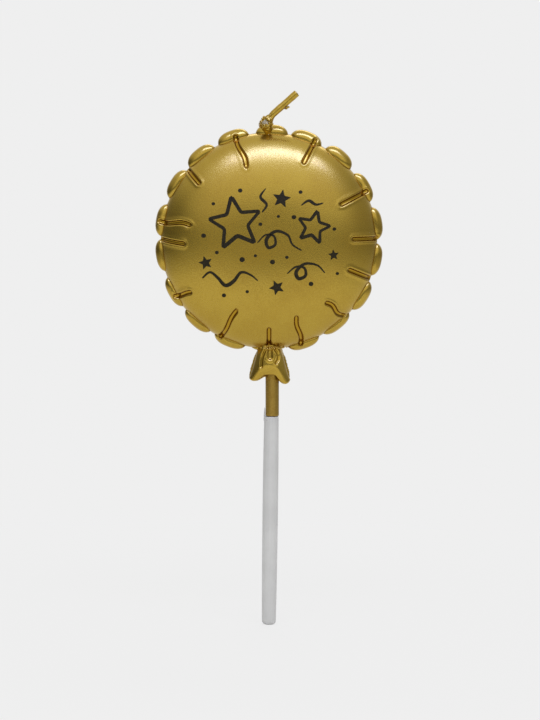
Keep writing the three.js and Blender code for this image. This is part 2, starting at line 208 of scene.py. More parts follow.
def new_finish(name, cloud_size, grain_size, speck_gap):
    """Starts a material, and gives back it, its tree, its shader's inputs and its speckle's outputs."""
    material = bpy.data.materials.new(name)
    material.use_nodes = True
    tree = material.node_tree
    speckle = tree.nodes.new("ShaderNodeGroup")
    speckle.node_tree = SPECKLE
    for place, size in enumerate((cloud_size, grain_size, speck_gap)):
        speckle.inputs[place].default_value = size * MM
    shader = tree.nodes["Principled BSDF"].inputs
    return material, tree, shader, [Value(tree, socket) for socket in speckle.outputs]


def bumped(tree, height, depth):
    """The normal of a skin that rises by a height from 0 to 1, times a depth in millimetres."""
    wires = {"Strength": 1.0, "Distance": depth * MM, "Height": height}
    return node(tree, "ShaderNodeBump", wires)


def white_plastic():
    material, tree, shader, (cloud, grain, speck) = new_finish(
        "white_plastic", cloud_size=9, grain_size=0.35, speck_gap=5)
    place = node(tree, "ShaderNodeTexCoord", output=3)
    drawn = node(tree, "ShaderNodeMapping", {0: place, 3: FLOW_STRETCH})
    lines = node(tree, "ShaderNodeTexNoise", {0: drawn, 2: FLOW_LINES, 3: 2.0}).ramp(0.35, 0.7)
    shade = mixed(tree, cloud * 0.6 + lines * 0.3, STICK_COLOUR, STICK_SHADE)
    plug(tree, mixed(tree, speck * 0.5, shade, STICK_SPECK), shader["Base Color"])
    plug(tree, STICK_ROUGHNESS + cloud * 0.1 + lines * 0.08, shader["Roughness"])
    plug(tree, bumped(tree, lines * 0.6 + grain * 0.4, STICK_BUMPS), shader["Normal"])
    return material


def closed_skin(rings, start=None, end=None):
    """Points and faces of a closed skin: a fan from a start point, rings of points, and a fan to an end.

    A start or an end that isn't given is the middle of its ring.
    """
    rings = np.asarray(rings, float)
    count, sides = rings.shape[:2]
    start = rings[0].mean(axis=0) if start is None else start
    end = rings[-1].mean(axis=0) if end is None else end
    points = np.vstack([[start], rings.reshape(-1, 3), [end]])
    first = np.arange(count)[:, None] * sides + np.arange(sides)[None, :] + 1
    following = np.roll(first, -1, axis=1)
    faces = [(0, b, a) for a, b in zip(first[0], following[0])]
    walls = np.stack([first[:-1], following[:-1], following[1:], first[1:]], axis=-1)
    faces += [tuple(face) for face in walls.reshape(-1, 4).tolist()]
    faces += [(len(points) - 1, a, b) for a, b in zip(first[-1], following[-1])]
    return points, [tuple(int(corner) for corner in face) for face in faces]


def round_angles(count):
    """Directions evenly round a circle, in radians."""
    return np.arange(count) * 2 * math.pi / count


def turned_skin(profile):
    """A closed skin of revolution about Z, from a profile of (radius, height) between ends on the axis."""
    angles = round_angles(ROUND_SIDES)
    circle = np.stack([np.cos(angles), np.sin(angles), 0 * angles], axis=1)
    rings = [circle * radius + (0, 0, height) for radius, height in profile[1:-1]]
    return closed_skin(rings, (0, 0, profile[0][1]), (0, 0, profile[-1][1]))


def arc(middle_radius, middle_height, rounding, start, end, steps=5):
    """Profile points of a rounded edge, from a start to an end direction in degrees."""
    turns = [math.radians(start + (end - start) * step / steps) for step in range(steps + 1)]
    return [(middle_radius + rounding * math.cos(t), middle_height + rounding * math.sin(t)) for t in turns]


def set_down(mesh, place, sharp):
    """Moves a mesh to its place and shades it smooth, but for edges sharper than an angle in degrees."""
    mesh.transform(place)
    mesh.shade_smooth()
    mesh.set_sharp_from_angle(angle=math.radians(sharp))


def new_piece(name, material, *skins, place=Matrix.Identity(4), sharp=35):
    """One object from closed skins in millimetres, set down in its place."""
    points, faces = [], []
    for skin_points, skin_faces in skins:
        faces += [tuple(corner + len(points) for corner in face) for face in skin_faces]
        points += [tuple(point) for point in np.asarray(skin_points) * MM]
    mesh = bpy.data.meshes.new(name)
    mesh.from_pydata(points, [], faces)
    set_down(mesh, place, sharp)
    mesh.materials.append(material)
    return new_object(name, mesh)


def stick_radius(height):
    end, reach = (STICK_RIM_D, STICK_LENGTH - STICK_BELLY_HEIGHT) if height > STICK_BELLY_HEIGHT else (
        STICK_TIP_D, STICK_BELLY_HEIGHT)
    away = (height - STICK_BELLY_HEIGHT) / reach
    return (STICK_BELLY_D + (end - STICK_BELLY_D) * away * away) / 2


def stick_skin():
    tip_middle = STICK_TIP_D / 2 - STICK_TIP_ROUNDING
    profile = [(0, 0), (tip_middle * 0.6, 0)]
    profile += arc(tip_middle, STICK_TIP_ROUNDING, STICK_TIP_ROUNDING, -90, 0, 8)
    heights = np.linspace(STICK_TIP_ROUNDING, STICK_LENGTH - STICK_RIM_ROUNDING, 25)[1:-1]
    profile += [(stick_radius(height), height) for height in heights]
    rim, edge = STICK_RIM_D / 2, STICK_RIM_ROUNDING
    bore = rim - STICK_WALL
    profile += arc(rim - edge, STICK_LENGTH - edge, edge, 0, 90)
    profile += arc(bore + edge, STICK_LENGTH - edge, edge, 90, 180)
    floor = STICK_LENGTH - SOCKET_DEPTH
    profile += [(bore, floor + SOCKET_FILLET), (bore - SOCKET_FILLET, floor)]
    profile += [(bore * 0.4, floor), (0, floor)]
    return turned_skin(profile)


def sliver_skin():
    """The flash: a thin strip on the rim's left side that ends in a torn, slanted edge."""
    thickness, width, rise = SLIVER_SIZE
    outside = -STICK_RIM_D / 2 + STICK_WALL / 2 - thickness
    rings = []
    angles = round_angles(SLIVER_SIDES)
    for share in np.arange(SLIVER_RINGS + 1) / SLIVER_RINGS:
        height = STICK_LENGTH - SLIVER_ROOT + (SLIVER_ROOT + rise) * share
        half = width / 2 * (1 - 0.35 * share ** 3)
        thin = thickness * (0.9 - 0.55 * share ** 2)
        across = np.sign(np.cos(angles)) * np.abs(np.cos(angles)) ** SLIVER_SQUARENESS * thin / 2
        along = np.sin(angles) * half
        slant = along * SLIVER_SLANT * share
        rings.append(np.stack([outside + thickness / 2 + across, along, height + slant], axis=1))
    return closed_skin(rings)


stick = new_piece("stick_skin", white_plastic(), stick_skin(), sliver_skin())
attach(stick, "stick")
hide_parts("stick")

# Stem
# A gold lacquered plastic rod that carries the head: cast into the wax above, with ring grooves that
# key it there, and reduced below to the spigot that plugs into the stick. It is duller than the wax.
STEM_D = 3.5
STEM_TOP = 29.55
SHOULDER_HEIGHT = 0.15
SPIGOT_D = 1.7
SPIGOT_LENGTH = 13
SPIGOT_CHAMFER = 0.4
STEM_EDGE = 0.15
HEAD_ASIDE = 0.2
KEY_RINGS = (20.2, 23.4, 26.6)  # their heights
KEY_RING_WIDTH = 1.2
KEY_RING_DEPTH = 0.3
LACQUER_COAT = 0.3
LACQUER_COAT_ROUGHNESS = 0.2
LACQUER_COAT_IOR = 1.5
LACQUER_COVER = 0.85  # how far the colours of a speck, a groove and its walls hide the gold
LACQUER_SPECK = (0.06, 0.035, 0.012, 1)
LACQUER_SPECK_GAP = 6.5
GRAIN_ROUGHNESS, CLOUD_ROUGHNESS, SPECK_ROUGHNESS = 0.08, 0.04, 0.3
GROOVE_GLOSS, PETAL_GLOSS = 0.1, 0.08  # how much less rough the lacquer is there
PETAL_CALM = 0.8  # how far the flakes' bumps fade on the petals
# painted shade in the grooves: a darker amber on their floors and a dark brown half way down their walls
GROOVE_SHADE_COLOUR = (0.46, 0.27, 0.022, 1)
GROOVE_WALL_SHADE_COLOUR = (0.24, 0.105, 0.004, 1)
HEAD = Matrix.Translation((HEAD_ASIDE * MM, 0, STICK_LENGTH * MM)) @ lean


def gold_lacquer(name, bright, deep, roughness, flake_depth, cloud_size=11, grain_size=0.3, groove_shade_and_gloss=0):
    """Gold lacquer with flakes in it, glossier on the petals.

    It is glossier where the wax is pressed in, and painted shade darkens the grooves there, most of all half
    way down their walls, as far as groove_shade_and_gloss says, from 0 to 1.
    """
    material, tree, shader, (cloud, grain, speck) = new_finish(
        name, cloud_size, grain_size, LACQUER_SPECK_GAP)
    colour = mixed(tree, cloud * 0.5 + grain * 0.5, bright, deep)
    rough = roughness + grain * GRAIN_ROUGHNESS + cloud * CLOUD_ROUGHNESS
    flakes = grain
    shader["Coat Weight"].default_value = LACQUER_COAT
    if groove_shade_and_gloss:
        groove = node(tree, "ShaderNodeAttribute", output=2, attribute_name="pressed")
        petal = node(tree, "ShaderNodeAttribute", output=2, attribute_name="petal")
        # painted shade: the grooves take a darker amber on their floors and a dark brown on their walls
        wall = groove * (1 - groove) * 4  # 1 half way down a groove's wall
        colour = mixed(tree, groove * LACQUER_COVER * groove_shade_and_gloss, colour, GROOVE_SHADE_COLOUR)
        colour = mixed(tree, wall * LACQUER_COVER * groove_shade_and_gloss, colour, GROOVE_WALL_SHADE_COLOUR)
        rough = rough - groove * GROOVE_GLOSS - petal * PETAL_GLOSS
        flakes = grain * (1 - petal * PETAL_CALM) * (1 - groove)
        plug(tree, LACQUER_COAT * (1 - groove), shader["Coat Weight"])
    colour = mixed(tree, speck * LACQUER_COVER, colour, LACQUER_SPECK)
    plug(tree, colour, shader["Base Color"])
    plug(tree, rough + speck * SPECK_ROUGHNESS, shader["Roughness"])
    shader["Metallic"].default_value = 1
    shader["Coat Roughness"].default_value = LACQUER_COAT_ROUGHNESS
    shader["Coat IOR"].default_value = LACQUER_COAT_IOR
    plug(tree, bumped(tree, flakes, flake_depth), shader["Normal"])
    return material


def stem_skin():
    rod, spigot = STEM_D / 2, SPIGOT_D / 2
    foot = SHOULDER_HEIGHT - SPIGOT_LENGTH
    profile = [(0, foot), (spigot - SPIGOT_CHAMFER, foot), (spigot, foot + SPIGOT_CHAMFER)]
    profile += [(spigot, SHOULDER_HEIGHT - 0.1), (spigot + 0.1, SHOULDER_HEIGHT)]
    profile += arc(rod - STEM_EDGE, SHOULDER_HEIGHT + STEM_EDGE, STEM_EDGE, -90, 0)
    profile += [(rod, height) for height in np.linspace(1, 15, 8)]
    for ring in KEY_RINGS:
        for height, radius in ((-0.5, 0), (-0.4, 1), (0.4, 1), (0.5, 0)):
            profile.append((rod - KEY_RING_DEPTH * radius, ring + KEY_RING_WIDTH * height))
    profile += [(rod, STEM_TOP - SPIGOT_CHAMFER), (rod - SPIGOT_CHAMFER, STEM_TOP), (0, STEM_TOP)]
    return turned_skin(profile)


STEM_BRIGHT, STEM_DEEP = (0.46, 0.3, 0.05, 1), (0.37, 0.22, 0.03, 1)
stem_finish = gold_lacquer(
    "gold_plastic", STEM_BRIGHT, STEM_DEEP, roughness=0.4, flake_depth=0.02, cloud_size=3, grain_size=0.4)
stem = new_piece("stem_rod", stem_finish, stem_skin(), place=HEAD)
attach(stem, "candle_head")
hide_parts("stem")

# Balloon
# The candle itself, cast in wax in a soft two-part mould and lacquered gold: a pillow with 18 puffed
# petals round its edge, and 13 creases pressed into each face like the gathers of a foil balloon.
BALLOON_ASIDE = 0.83
BALLOON_HEIGHT = 46.1
PILLOW_RADIUS = 28.05
PILLOW_SAG = 0.012  # the pillow sits a little low in its ring of petals
PILLOW_DEPTH = 9.5
PILLOW_POWER = 2.7
PETAL_COUNT = 18
FIRST_PETAL = 9
PETAL_TIP = 29.75
NOTCH_TIP = 27.8
PETAL_DEPTH = 2.05
NOTCH_DEPTH = 0.6
PETAL_SPREAD = 0.88
VALLEY_LEVEL = 0.98
NECK_PETAL = 13
NECK_PETAL_LOSS = 0.4  # the share of its fullness that the petal over the neck lacks
PETAL_SKEW = 0.03
BALLOON_UNEVENNESS = 0.15
BALLOON_WAVES = 85.0  # the noise scale of the unevenness
BALLOON_SEED = 7
CREASE_HALF_WIDTH = 0.72
CREASE_DEPTH = 0.5
CREASE_LIP = 0.11
CREASE_ROOM = (0.4, 1.5)  # how far from the middle plane the creases begin, and are full
GROOVE_FLOOR = 0.3  # how wide the flat floor of a pressed line is, as a share of its width
LIP_SPAN = (0.85, 1.3, 2)  # where its lip begins, is highest and ends, in half widths
CREASES = [  # the radius and direction of the outer end, the same of the inner end, and the sway
    (28.6, 0.8, 21.9, 1.0, 0), (28.3, 26.5, 20.95, 26.7, 0), (28.4, 65, 22.1, 66, 0),
    (28.0, 108.0, 20.2, 106.9, 0.3), (27.6, 139.2, 23.4, 140.6, 0), (28.9, 170.4, 20.95, 168.6, 0.3),
    (27.6, 179.8, 22.1, 182, 0), (28.4, 211, 24.4, 213.2, 0.1), (28.1, 243.4, 20.1, 244.8, 0.2),
    (27.1, 270, 23, 270, 0), (28.3, 286.9, 21.1, 289.6, 0.3), (27.5, 314.6, 22, 313, -0.4),
    (28.1, 339.2, 22.2, 340, 0),
]
CREASE_COLUMNS = 15  # mesh columns along each crease
CREASE_COLUMN_ANGLE = 0.36
NOTCH_COLUMNS = (0.45, 0.8, 1.2, 1.7, 2.4, 3.3, 4.4)  # degrees to each side of a notch
COLUMN_ANGLE = 1.25
PETAL_RINGS = 18
CREASED_RINGS = 44
CROWN_RINGS = 24
CREASED_SHARE = 0.5


def pillow_depth(radius, full_radius=PILLOW_RADIUS, full_depth=PILLOW_DEPTH, power=PILLOW_POWER):
    """How far the pillow's face stands in front of its middle plane. It works on numbers and on nodes."""
    return full_depth * (1 - (radius / full_radius) ** power) ** 0.5


def pillow_radius(depth, full_radius=PILLOW_RADIUS, full_depth=PILLOW_DEPTH, power=PILLOW_POWER):
    """The pillow's radius where its face stands this far in front of its middle plane."""
    return full_radius * (1 - (depth / full_depth) ** 2) ** (1 / power)


def crease_angle(crease, radius):
    """The direction of a crease's line, in radians, where it crosses a radius."""
    outer_radius, outer_angle, inner_radius, inner_angle, sway = crease
    along = np.clip((outer_radius - radius) / (outer_radius - inner_radius), 0, 1)
    angle = math.radians(outer_angle) + math.radians(inner_angle - outer_angle) * along
    return angle + sway * np.sin(2 * math.pi * along) / radius


def line_guide(name, routes):
    """A helper object whose edges run along routes of points in millimetres."""
    points, edges = [], []
    for route in routes:
        edges += [(len(points) + step, len(points) + step + 1) for step in range(len(route) - 1)]
        points += [tuple(point) for point in np.asarray(route) * MM]
    mesh = bpy.data.meshes.new(name)
    mesh.from_pydata(points, edges, [])
    return new_object(name, mesh)


def crease_routes():
    """The creases' middle lines, on the front and on the back."""
    routes = []
    for side in (-1, 1):
        for crease in CREASES:
            radii = np.linspace(crease[0], crease[2], 25)
            angles = crease_angle(crease, radii)
            edge = PILLOW_RADIUS * (1 - PILLOW_SAG * np.sin(angles))
            on_face = np.minimum(radii, edge * 0.999)
            depth = np.maximum(pillow_depth(on_face, edge), PETAL_DEPTH * 0.95)
            routes.append(np.stack([
                np.cos(angles) * radii - BALLOON_ASIDE,
                side * depth,
                np.sin(angles) * radii + BALLOON_HEIGHT,
            ], axis=1))
    return routes


def column_angles():
    """The directions of the mesh columns, in degrees: close at the creases and the notches, wide between."""
    reach = CREASE_COLUMN_ANGLE * (CREASE_COLUMNS - 1) / 2
    creases = [at + offset for _, at, *_ in CREASES for offset in np.linspace(-reach, reach, CREASE_COLUMNS)]
    pitch = 360 / PETAL_COUNT
    notches = [
        FIRST_PETAL + pitch * (petal + 0.5) + side * offset
        for petal in range(PETAL_COUNT) for offset in (0, *NOTCH_COLUMNS) for side in (-1, 1)
    ]
    taken = sorted(angle % 360 for angle in creases)
    for angle in sorted(angle % 360 for angle in notches):
        if min(abs((angle - other + 180) % 360 - 180) for other in taken) > CREASE_COLUMN_ANGLE * 0.8:
            taken.append(angle)
    taken.sort()
    columns = []
    for angle, following in zip(taken, [*taken[1:], taken[0] + 360]):
        steps = max(1, round((following - angle) / COLUMN_ANGLE))
        columns += [angle + (following - angle) * step / steps for step in range(steps)]
    return np.array(columns)


def column_shifts(columns, radii):
    """How far each column bends aside at each radius, in radians, to run along its crease."""
    reach = CREASE_COLUMN_ANGLE * (CREASE_COLUMNS + 1) / 2
    knots, shifts = [], []
    for crease in CREASES:
        shift = crease_angle(crease, radii) - math.radians(crease[1])
        knots += [crease[1] - reach, crease[1] + reach]
        shifts += [shift, shift]
    return np.stack([np.interp(columns, knots, row, period=360) for row in np.array(shifts).T])


def store(mesh, name, values):
    """Keeps a number for each point of a mesh, which a rule reads by its name."""
    mesh.attributes.new(name, "FLOAT", "POINT").data.foreach_set("value", np.asarray(values, np.float32))


def balloon_grid():
    """The balloon's start mesh: columns that follow the creases and rings from the front crown to the back.

    Its points hold only where they lie on the balloon, and the rule below gives them their places.
    """
    crown = np.linspace(1, CREASED_SHARE, CROWN_RINGS + 1)[1:]
    creased = CREASED_SHARE * np.linspace(1, 0, CREASED_RINGS + 1)[1:] ** 1.15
    on_pillow = np.concatenate([crown, creased])
    on_petal = np.linspace(1, 0, PETAL_RINGS + 1)[1:]
    pillow_share = np.concatenate([on_pillow, np.zeros(PETAL_RINGS)])
    petal_share = np.concatenate([np.ones(len(on_pillow)), on_petal])
    side = np.concatenate([-np.ones(len(pillow_share)), np.ones(len(pillow_share) - 1)])
    pillow_share = np.concatenate([pillow_share, pillow_share[-2::-1]])
    petal_share = np.concatenate([petal_share, petal_share[-2::-1]])
    start = math.asin(VALLEY_LEVEL * PETAL_DEPTH / PILLOW_DEPTH)
    radii = pillow_radius(PILLOW_DEPTH * np.sin(start + (math.pi / 2 - start) * pillow_share))
    radii = np.maximum(radii, 1)
    columns = column_angles()
    angles = np.radians(columns)[None, :] + column_shifts(columns, radii)
    points, faces = closed_skin(np.zeros((*angles.shape, 3)), (0, 0, 0), (0, 0, 0))
    mesh = bpy.data.meshes.new("balloon_grid")
    mesh.from_pydata(points.tolist(), [], [face[::-1] for face in faces])
    for name, ring_values, poles in (
        ("pillow_share", pillow_share, (1, 1)),
        ("petal_share", petal_share, (1, 1)),
        ("side", side, (-1, 1)),
        ("turn", angles, (0, 0)),
    ):
        values = np.broadcast_to(ring_values.reshape(len(angles), -1), angles.shape)
        store(mesh, name, [poles[0], *values.ravel(), poles[1]])
    return mesh


def stored(tree, name):
    """The number that each point keeps under a name."""
    return node(tree, "GeometryNodeInputNamedAttribute", {0: name}, data_type="FLOAT")


def in_parts(tree, vector):
    """The x, y and z of a vector."""
    split = tree.nodes.new("ShaderNodeSeparateXYZ")
    plug(tree, vector, split.inputs[0])
    return [Value(tree, socket) for socket in split.outputs]


def scaled(tree, vector, factor):
    return node(tree, "ShaderNodeVectorMath", {0: vector, 3: factor}, operation="SCALE")


def pushed_out(tree, skin, distance):
    """Moves each point of a skin along its normal."""
    facing = node(tree, "GeometryNodeInputNormal")
    return node(tree, "GeometryNodeSetPosition", {0: skin, 3: scaled(tree, facing, distance)})


def end_with_finish(tree, skin, finish):
    """Ends a Geometry Nodes tree: its copies become one mesh, which takes its finish."""
    skin = node(tree, "GeometryNodeRealizeInstances", {0: skin})
    return end_rule(tree, node(tree, "GeometryNodeSetMaterial", {0: skin, 2: finish}))


def pressing_rule():
    """A node group that presses rounded grooves with raised lips into a skin, along another mesh's lines.

    The grooves fade out towards the middle plane, where the skin's two faces are too close for them.
    """
    tree, (skin, lines, half_width, depth, lip) = new_rule(
        "pressing", "GeometryNodeTree",
        {"Geometry": ["Skin"], "Object": ["Lines"], "Float": ["Half Width", "Depth", "Lip"]},
        {"Geometry": ["Skin"]})
    where = node(tree, "GeometryNodeInputPosition")
    near_lines = node(tree, "GeometryNodeObjectInfo", {0: lines}, 4, transform_space="RELATIVE")
    gap = node(tree, "GeometryNodeProximity", {0: near_lines, 2: where}, 1, target_element="EDGES")
    x, y, z = in_parts(tree, where)
    room = y.work("ABSOLUTE").ramp(*(limit * MM for limit in CREASE_ROOM))
    pressed = gap.ramp(half_width * GROOVE_FLOOR, half_width, 1, 0) * room
    inside, crest, outside = (half_width * share for share in LIP_SPAN)
    raised = gap.ramp(inside, crest) * gap.ramp(crest, outside, 1, 0)
    skin = node(tree, "GeometryNodeStoreNamedAttribute", {0: skin, 2: "pressed", 3: pressed})
    return end_rule(tree, pushed_out(tree, skin, raised * room * lip - pressed * depth))


PRESSING = pressing_rule()


def pressed_in(tree, skin, lines, half_width, depth, lip):
    """Presses lines into a skin, inside another rule."""
    made = tree.nodes.new("GeometryNodeGroup")
    made.node_tree = PRESSING
    for place, value in enumerate((skin, lines, half_width, depth, lip)):
        plug(tree, value, made.inputs[place])
    return Value(tree, made.outputs[0])


def balloon_rule():
    """The Geometry Nodes tree that turns the grid into the balloon."""
    inputs = {"Geometry": ["Grid"], "Object": ["Crease Lines"], "Material": ["Finish"], "Int": ["Seed"]}
    inputs["Float"] = [
        "Pillow Radius", "Pillow Sag", "Pillow Depth", "Pillow Power", "Petal Count", "First Petal",
        "Petal Tip", "Notch Tip", "Petal Depth", "Notch Depth", "Petal Spread", "Valley Level",
        "Neck Petal", "Neck Petal Loss", "Crease Half Width", "Crease Depth", "Crease Lip", "Aside",
        "Height", "Unevenness",
    ]
    tree, values = new_rule("balloon_rule", "GeometryNodeTree", inputs, {"Geometry": ["Balloon"]})
    grid, lines, finish, seed = values[:4]
    (full_radius, sag, full_depth, power, count, first, petal_tip, notch_tip, petal_depth, notch_depth,
     spread, level, neck_petal, neck_loss, half_width, depth, lip, aside, height, unevenness) = values[4:]
    turn, pillow_share, petal_share, side = (
        stored(tree, name) for name in ("turn", "pillow_share", "petal_share", "side"))
    sine, cosine = turn.work("SINE"), turn.work("COSINE")

    phase = (turn - first) * count / (2 * math.pi)
    number = (phase + 0.5).work("FLOOR")
    petal = number.work("FLOORED_MODULO", count)
    chance = []
    for draw in range(3):
        wires = {2: -1.0, 3: 1.0, 7: petal, 8: seed + draw}
        chance.append(node(tree, "FunctionNodeRandomValue", wires, 1, data_type="FLOAT"))
    skewed = phase - number + chance[0] * PETAL_SKEW
    away = (skewed.work("ABSOLUTE") * 2 / spread).work("MINIMUM", 1)
    at_neck = (petal - neck_petal).work("ABSOLUTE").work("LESS_THAN", 0.5)
    fullness = (1 - away ** 3).work("MAXIMUM", 0) ** 0.6 * (1 - at_neck * neck_loss)
    notch = notch_tip * (1 - sag * sine)
    tip = notch + (petal_tip + chance[1] * unevenness - notch) * fullness
    thick = notch_depth + (petal_depth * (1 + chance[2] * 0.1) - notch_depth) * fullness

    edge = full_radius * (1 - sag * sine)
    valley = thick * level
    seat = pillow_radius(valley, edge, full_depth, power)
    valley_angle = math.pi - level.work("ARCSINE")
    half = (tip - seat) / (1 - valley_angle.work("COSINE"))
    swing = valley_angle * petal_share
    petal_radius = tip - half * (1 - swing.work("COSINE"))
    petal_rise = thick * swing.work("SINE")

    start = (valley / full_depth).work("ARCSINE")
    rise = full_depth * (start + (math.pi / 2 - start) * pillow_share).work("SINE")
    rise = rise.work("MINIMUM", full_depth)
    face_radius = pillow_radius(rise, edge, full_depth, power)
    on_petal = petal_share.work("LESS_THAN", 0.999)
    radius = face_radius + (petal_radius - face_radius) * on_petal
    forward = (rise + (petal_rise - rise) * on_petal) * side
    wires = {0: radius * cosine - aside, 1: forward, 2: radius * sine + height}
    place = node(tree, "ShaderNodeCombineXYZ", wires)
    shaped = node(tree, "GeometryNodeSetPosition", {0: grid, 2: place})

    where = node(tree, "GeometryNodeInputPosition")
    uneven = node(tree, "ShaderNodeTexNoise", {0: where, 2: BALLOON_WAVES, 3: 1.0}) - 0.5
    cast = pushed_out(tree, shaped, uneven * unevenness)
    cast = node(tree, "GeometryNodeStoreNamedAttribute", {0: cast, 2: "petal", 3: on_petal})
    return end_with_finish(tree, pressed_in(tree, cast, lines, half_width, depth, lip), finish)


def grown_piece(name, start, tree, place=Matrix.Identity(4), sharp=50, **inputs):
    """Runs a Geometry Nodes tree on a start mesh, and gives back an object with the plain mesh it makes."""
    carrier = new_object(name + "_start", start)
    modifier = carrier.modifiers.new("rule", "NODES")
    modifier.node_group = tree
    for item in tree.interface.items_tree:
        label = item.name.lower().replace(" ", "_")
        if item.in_out == "INPUT" and label in inputs:
            modifier[item.identifier] = inputs[label]
    graph = bpy.context.evaluated_depsgraph_get()
    mesh = bpy.data.meshes.new_from_object(
        carrier.evaluated_get(graph), preserve_all_data_layers=True, depsgraph=graph)
    bpy.data.objects.remove(carrier)
    set_down(mesh, place, sharp)
    mesh.name = name
    return new_object(name, mesh)


BALLOON_BRIGHT, BALLOON_DEEP = (0.54, 0.37, 0.05, 1), (0.46, 0.29, 0.032, 1)
balloon_finish = gold_lacquer(
    "gold_wax", BALLOON_BRIGHT, BALLOON_DEEP, roughness=0.225, flake_depth=0.0065, grain_size=0.24,
    groove_shade_and_gloss=1)
PILLOW = {  # the pillow's form and place, as the balloon's rule and the print's rule take them
    "pillow_radius": PILLOW_RADIUS * MM, "pillow_sag": PILLOW_SAG, "pillow_depth": PILLOW_DEPTH * MM,
    "pillow_power": PILLOW_POWER, "aside": BALLOON_ASIDE * MM, "height": BALLOON_HEIGHT * MM,
}
lines = line_guide("crease_lines", crease_routes())
balloon = grown_piece(
    "balloon_skin", balloon_grid(), balloon_rule(), HEAD, **PILLOW,
    crease_lines=lines, finish=balloon_finish, seed=BALLOON_SEED, petal_count=PETAL_COUNT,
    first_petal=math.radians(FIRST_PETAL), petal_tip=PETAL_TIP * MM, notch_tip=NOTCH_TIP * MM,
    petal_depth=PETAL_DEPTH * MM, notch_depth=NOTCH_DEPTH * MM, petal_spread=PETAL_SPREAD,
    valley_level=VALLEY_LEVEL, neck_petal=NECK_PETAL, neck_petal_loss=NECK_PETAL_LOSS,
    crease_half_width=CREASE_HALF_WIDTH * MM, crease_depth=CREASE_DEPTH * MM,
    crease_lip=CREASE_LIP * MM, unevenness=BALLOON_UNEVENNESS * MM,
)
bpy.data.objects.remove(lines)
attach(balloon, "candle_head")
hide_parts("balloon")

# Neck
# The balloon's tied neck: a flared skirt cast in the same gold lacquered wax, gathered at the top and
# arched at the hem, hollow below. The mould's joint leaves a thin ragged strip down each side.
NECK_ASIDE = 0.65
NECK_TOP = 18.8
NECK_ARCH = 10.95
ARCH_TILT = 0.6  # how much higher the arch stands in front, and lower behind
NECK_TOP_SIZE = (5.8, 6.3)  # width and depth
NECK_HEM_SIZE = (10.7, 5.9)
NECK_BELLY_DEPTH = 7.1
NECK_BELLY_LEVEL = 0.68
NECK_SQUARENESS = 2.3
NECK_WALL = 0.8
NECK_RECESS = 2.2
NECK_FEET = {-1: 1.3, 1: 2.1}  # how far each foot hangs below the arch
FOOT_START, FOOT_SPAN = 0.25, 0.98
FLUTE_COUNT = 9
FLUTE_DEPTH = 0.16
FLUTE_REACH = 0.35  # the level at which the flutes have run out
NECK_RINGS = 90
NECK_COLUMN_ANGLE = 1.4  # degrees between mesh columns on the front and the back
NECK_FACE_ANGLE = 28  # the columns within this angle of the sides are further apart
NECK_SIDE_STRETCH = 2.4
PLEATS = (  # aside from the neck's middle and height, down each pleat's pressed line
    [(-1.2, 17.4), (-1.6, 16.6), (-1.95, 15.7), (-2.12, 14.6), (-2.16, 13.3)],
    [(1.35, 17.8), (1.95, 17.0), (2.28, 16.1), (2.2, 15.1), (1.7, 14.3)],
)
PLEAT_HALF_WIDTH = 0.42
PLEAT_DEPTH = 0.3
PLEAT_LIP = 0.12
DIMPLE = [(0.12, 17.6), (0.06, 16.6), (0.1, 15.7)]  # the wide hollow between the pleats
DIMPLE_HALF_WIDTH = 0.85
DIMPLE_DEPTH = 0.42
DIMPLE_LIP = 0.07
STRIP_SIZE = (0.3, 0.5)  # how far the side strips stand out, and their thickness
STRIP_SPAN = (16.9, 10.2)
STRIP_ROOT = 0.35
STRIP_RAGGEDNESS = 0.28
STRIP_STEPS = 60


def smooth_line(points, steps=8):
    """A smooth route through points, as a Catmull-Rom curve."""
    points = np.asarray(points, float)
    padded = np.vstack([2 * points[0] - points[1], points, 2 * points[-1] - points[-2]])
    line = []
    for a, b, c, d in zip(padded, padded[1:], padded[2:], padded[3:]):
        for t in np.arange(steps) / steps:
            line.append(0.5 * (2 * b + (c - a) * t + (2 * a - 5 * b + 4 * c - d) * t ** 2
                               + (3 * b - a - 3 * c + d) * t ** 3))
    return np.array([*line, points[-1]])


def neck_half(level):
    """The neck's half width and half depth at a level from 0, its top, to 1, its hem."""
    width = np.interp(level, (0, 1), (NECK_TOP_SIZE[0], NECK_HEM_SIZE[0]))
    below = (level - NECK_BELLY_LEVEL) / (1 - NECK_BELLY_LEVEL)
    belly = NECK_BELLY_DEPTH - (NECK_BELLY_DEPTH - NECK_HEM_SIZE[1]) * below ** 2
    rise = math.sin(math.pi / 2 * min(1, level / NECK_BELLY_LEVEL))
    depth = NECK_TOP_SIZE[1] + (NECK_BELLY_DEPTH - NECK_TOP_SIZE[1]) * rise
    return width / 2, (belly if level > NECK_BELLY_LEVEL else depth) / 2


def hem_height(share):
    """The hem's height at a share of the half width to the side: an arch between two feet."""
    foot = NECK_FEET[1 if share > 0 else -1]
    reach = np.clip((abs(share) - FOOT_START) / FOOT_SPAN, 0, 1)
    return NECK_ARCH - foot * math.sin(math.pi * reach) ** 1.2


def neck_ring(level, angles, inset=0, lift=0):
    """One ring of the neck's skin, or of its inner wall when it is inset."""
    half_width, half_depth = neck_half(level)
    power = 2 / NECK_SQUARENESS
    flute = FLUTE_DEPTH * max(0, 1 - level / FLUTE_REACH) ** 1.5
    ring = []
    for angle in angles:
        cosine, sine = math.cos(angle), math.sin(angle)
        push = flute * math.cos(FLUTE_COUNT * angle) - inset
        x = math.copysign(abs(cosine) ** power, cosine) * (half_width + push)
        y = math.copysign(abs(sine) ** power, sine) * (half_depth + push)
        share = x / NECK_HEM_SIZE[0] * 2
        hem = hem_height(share) - ARCH_TILT * y / half_depth * max(0, 1 - share * share)
        ring.append((x - NECK_ASIDE, y, NECK_TOP + (hem - NECK_TOP) * level + lift))
    return ring


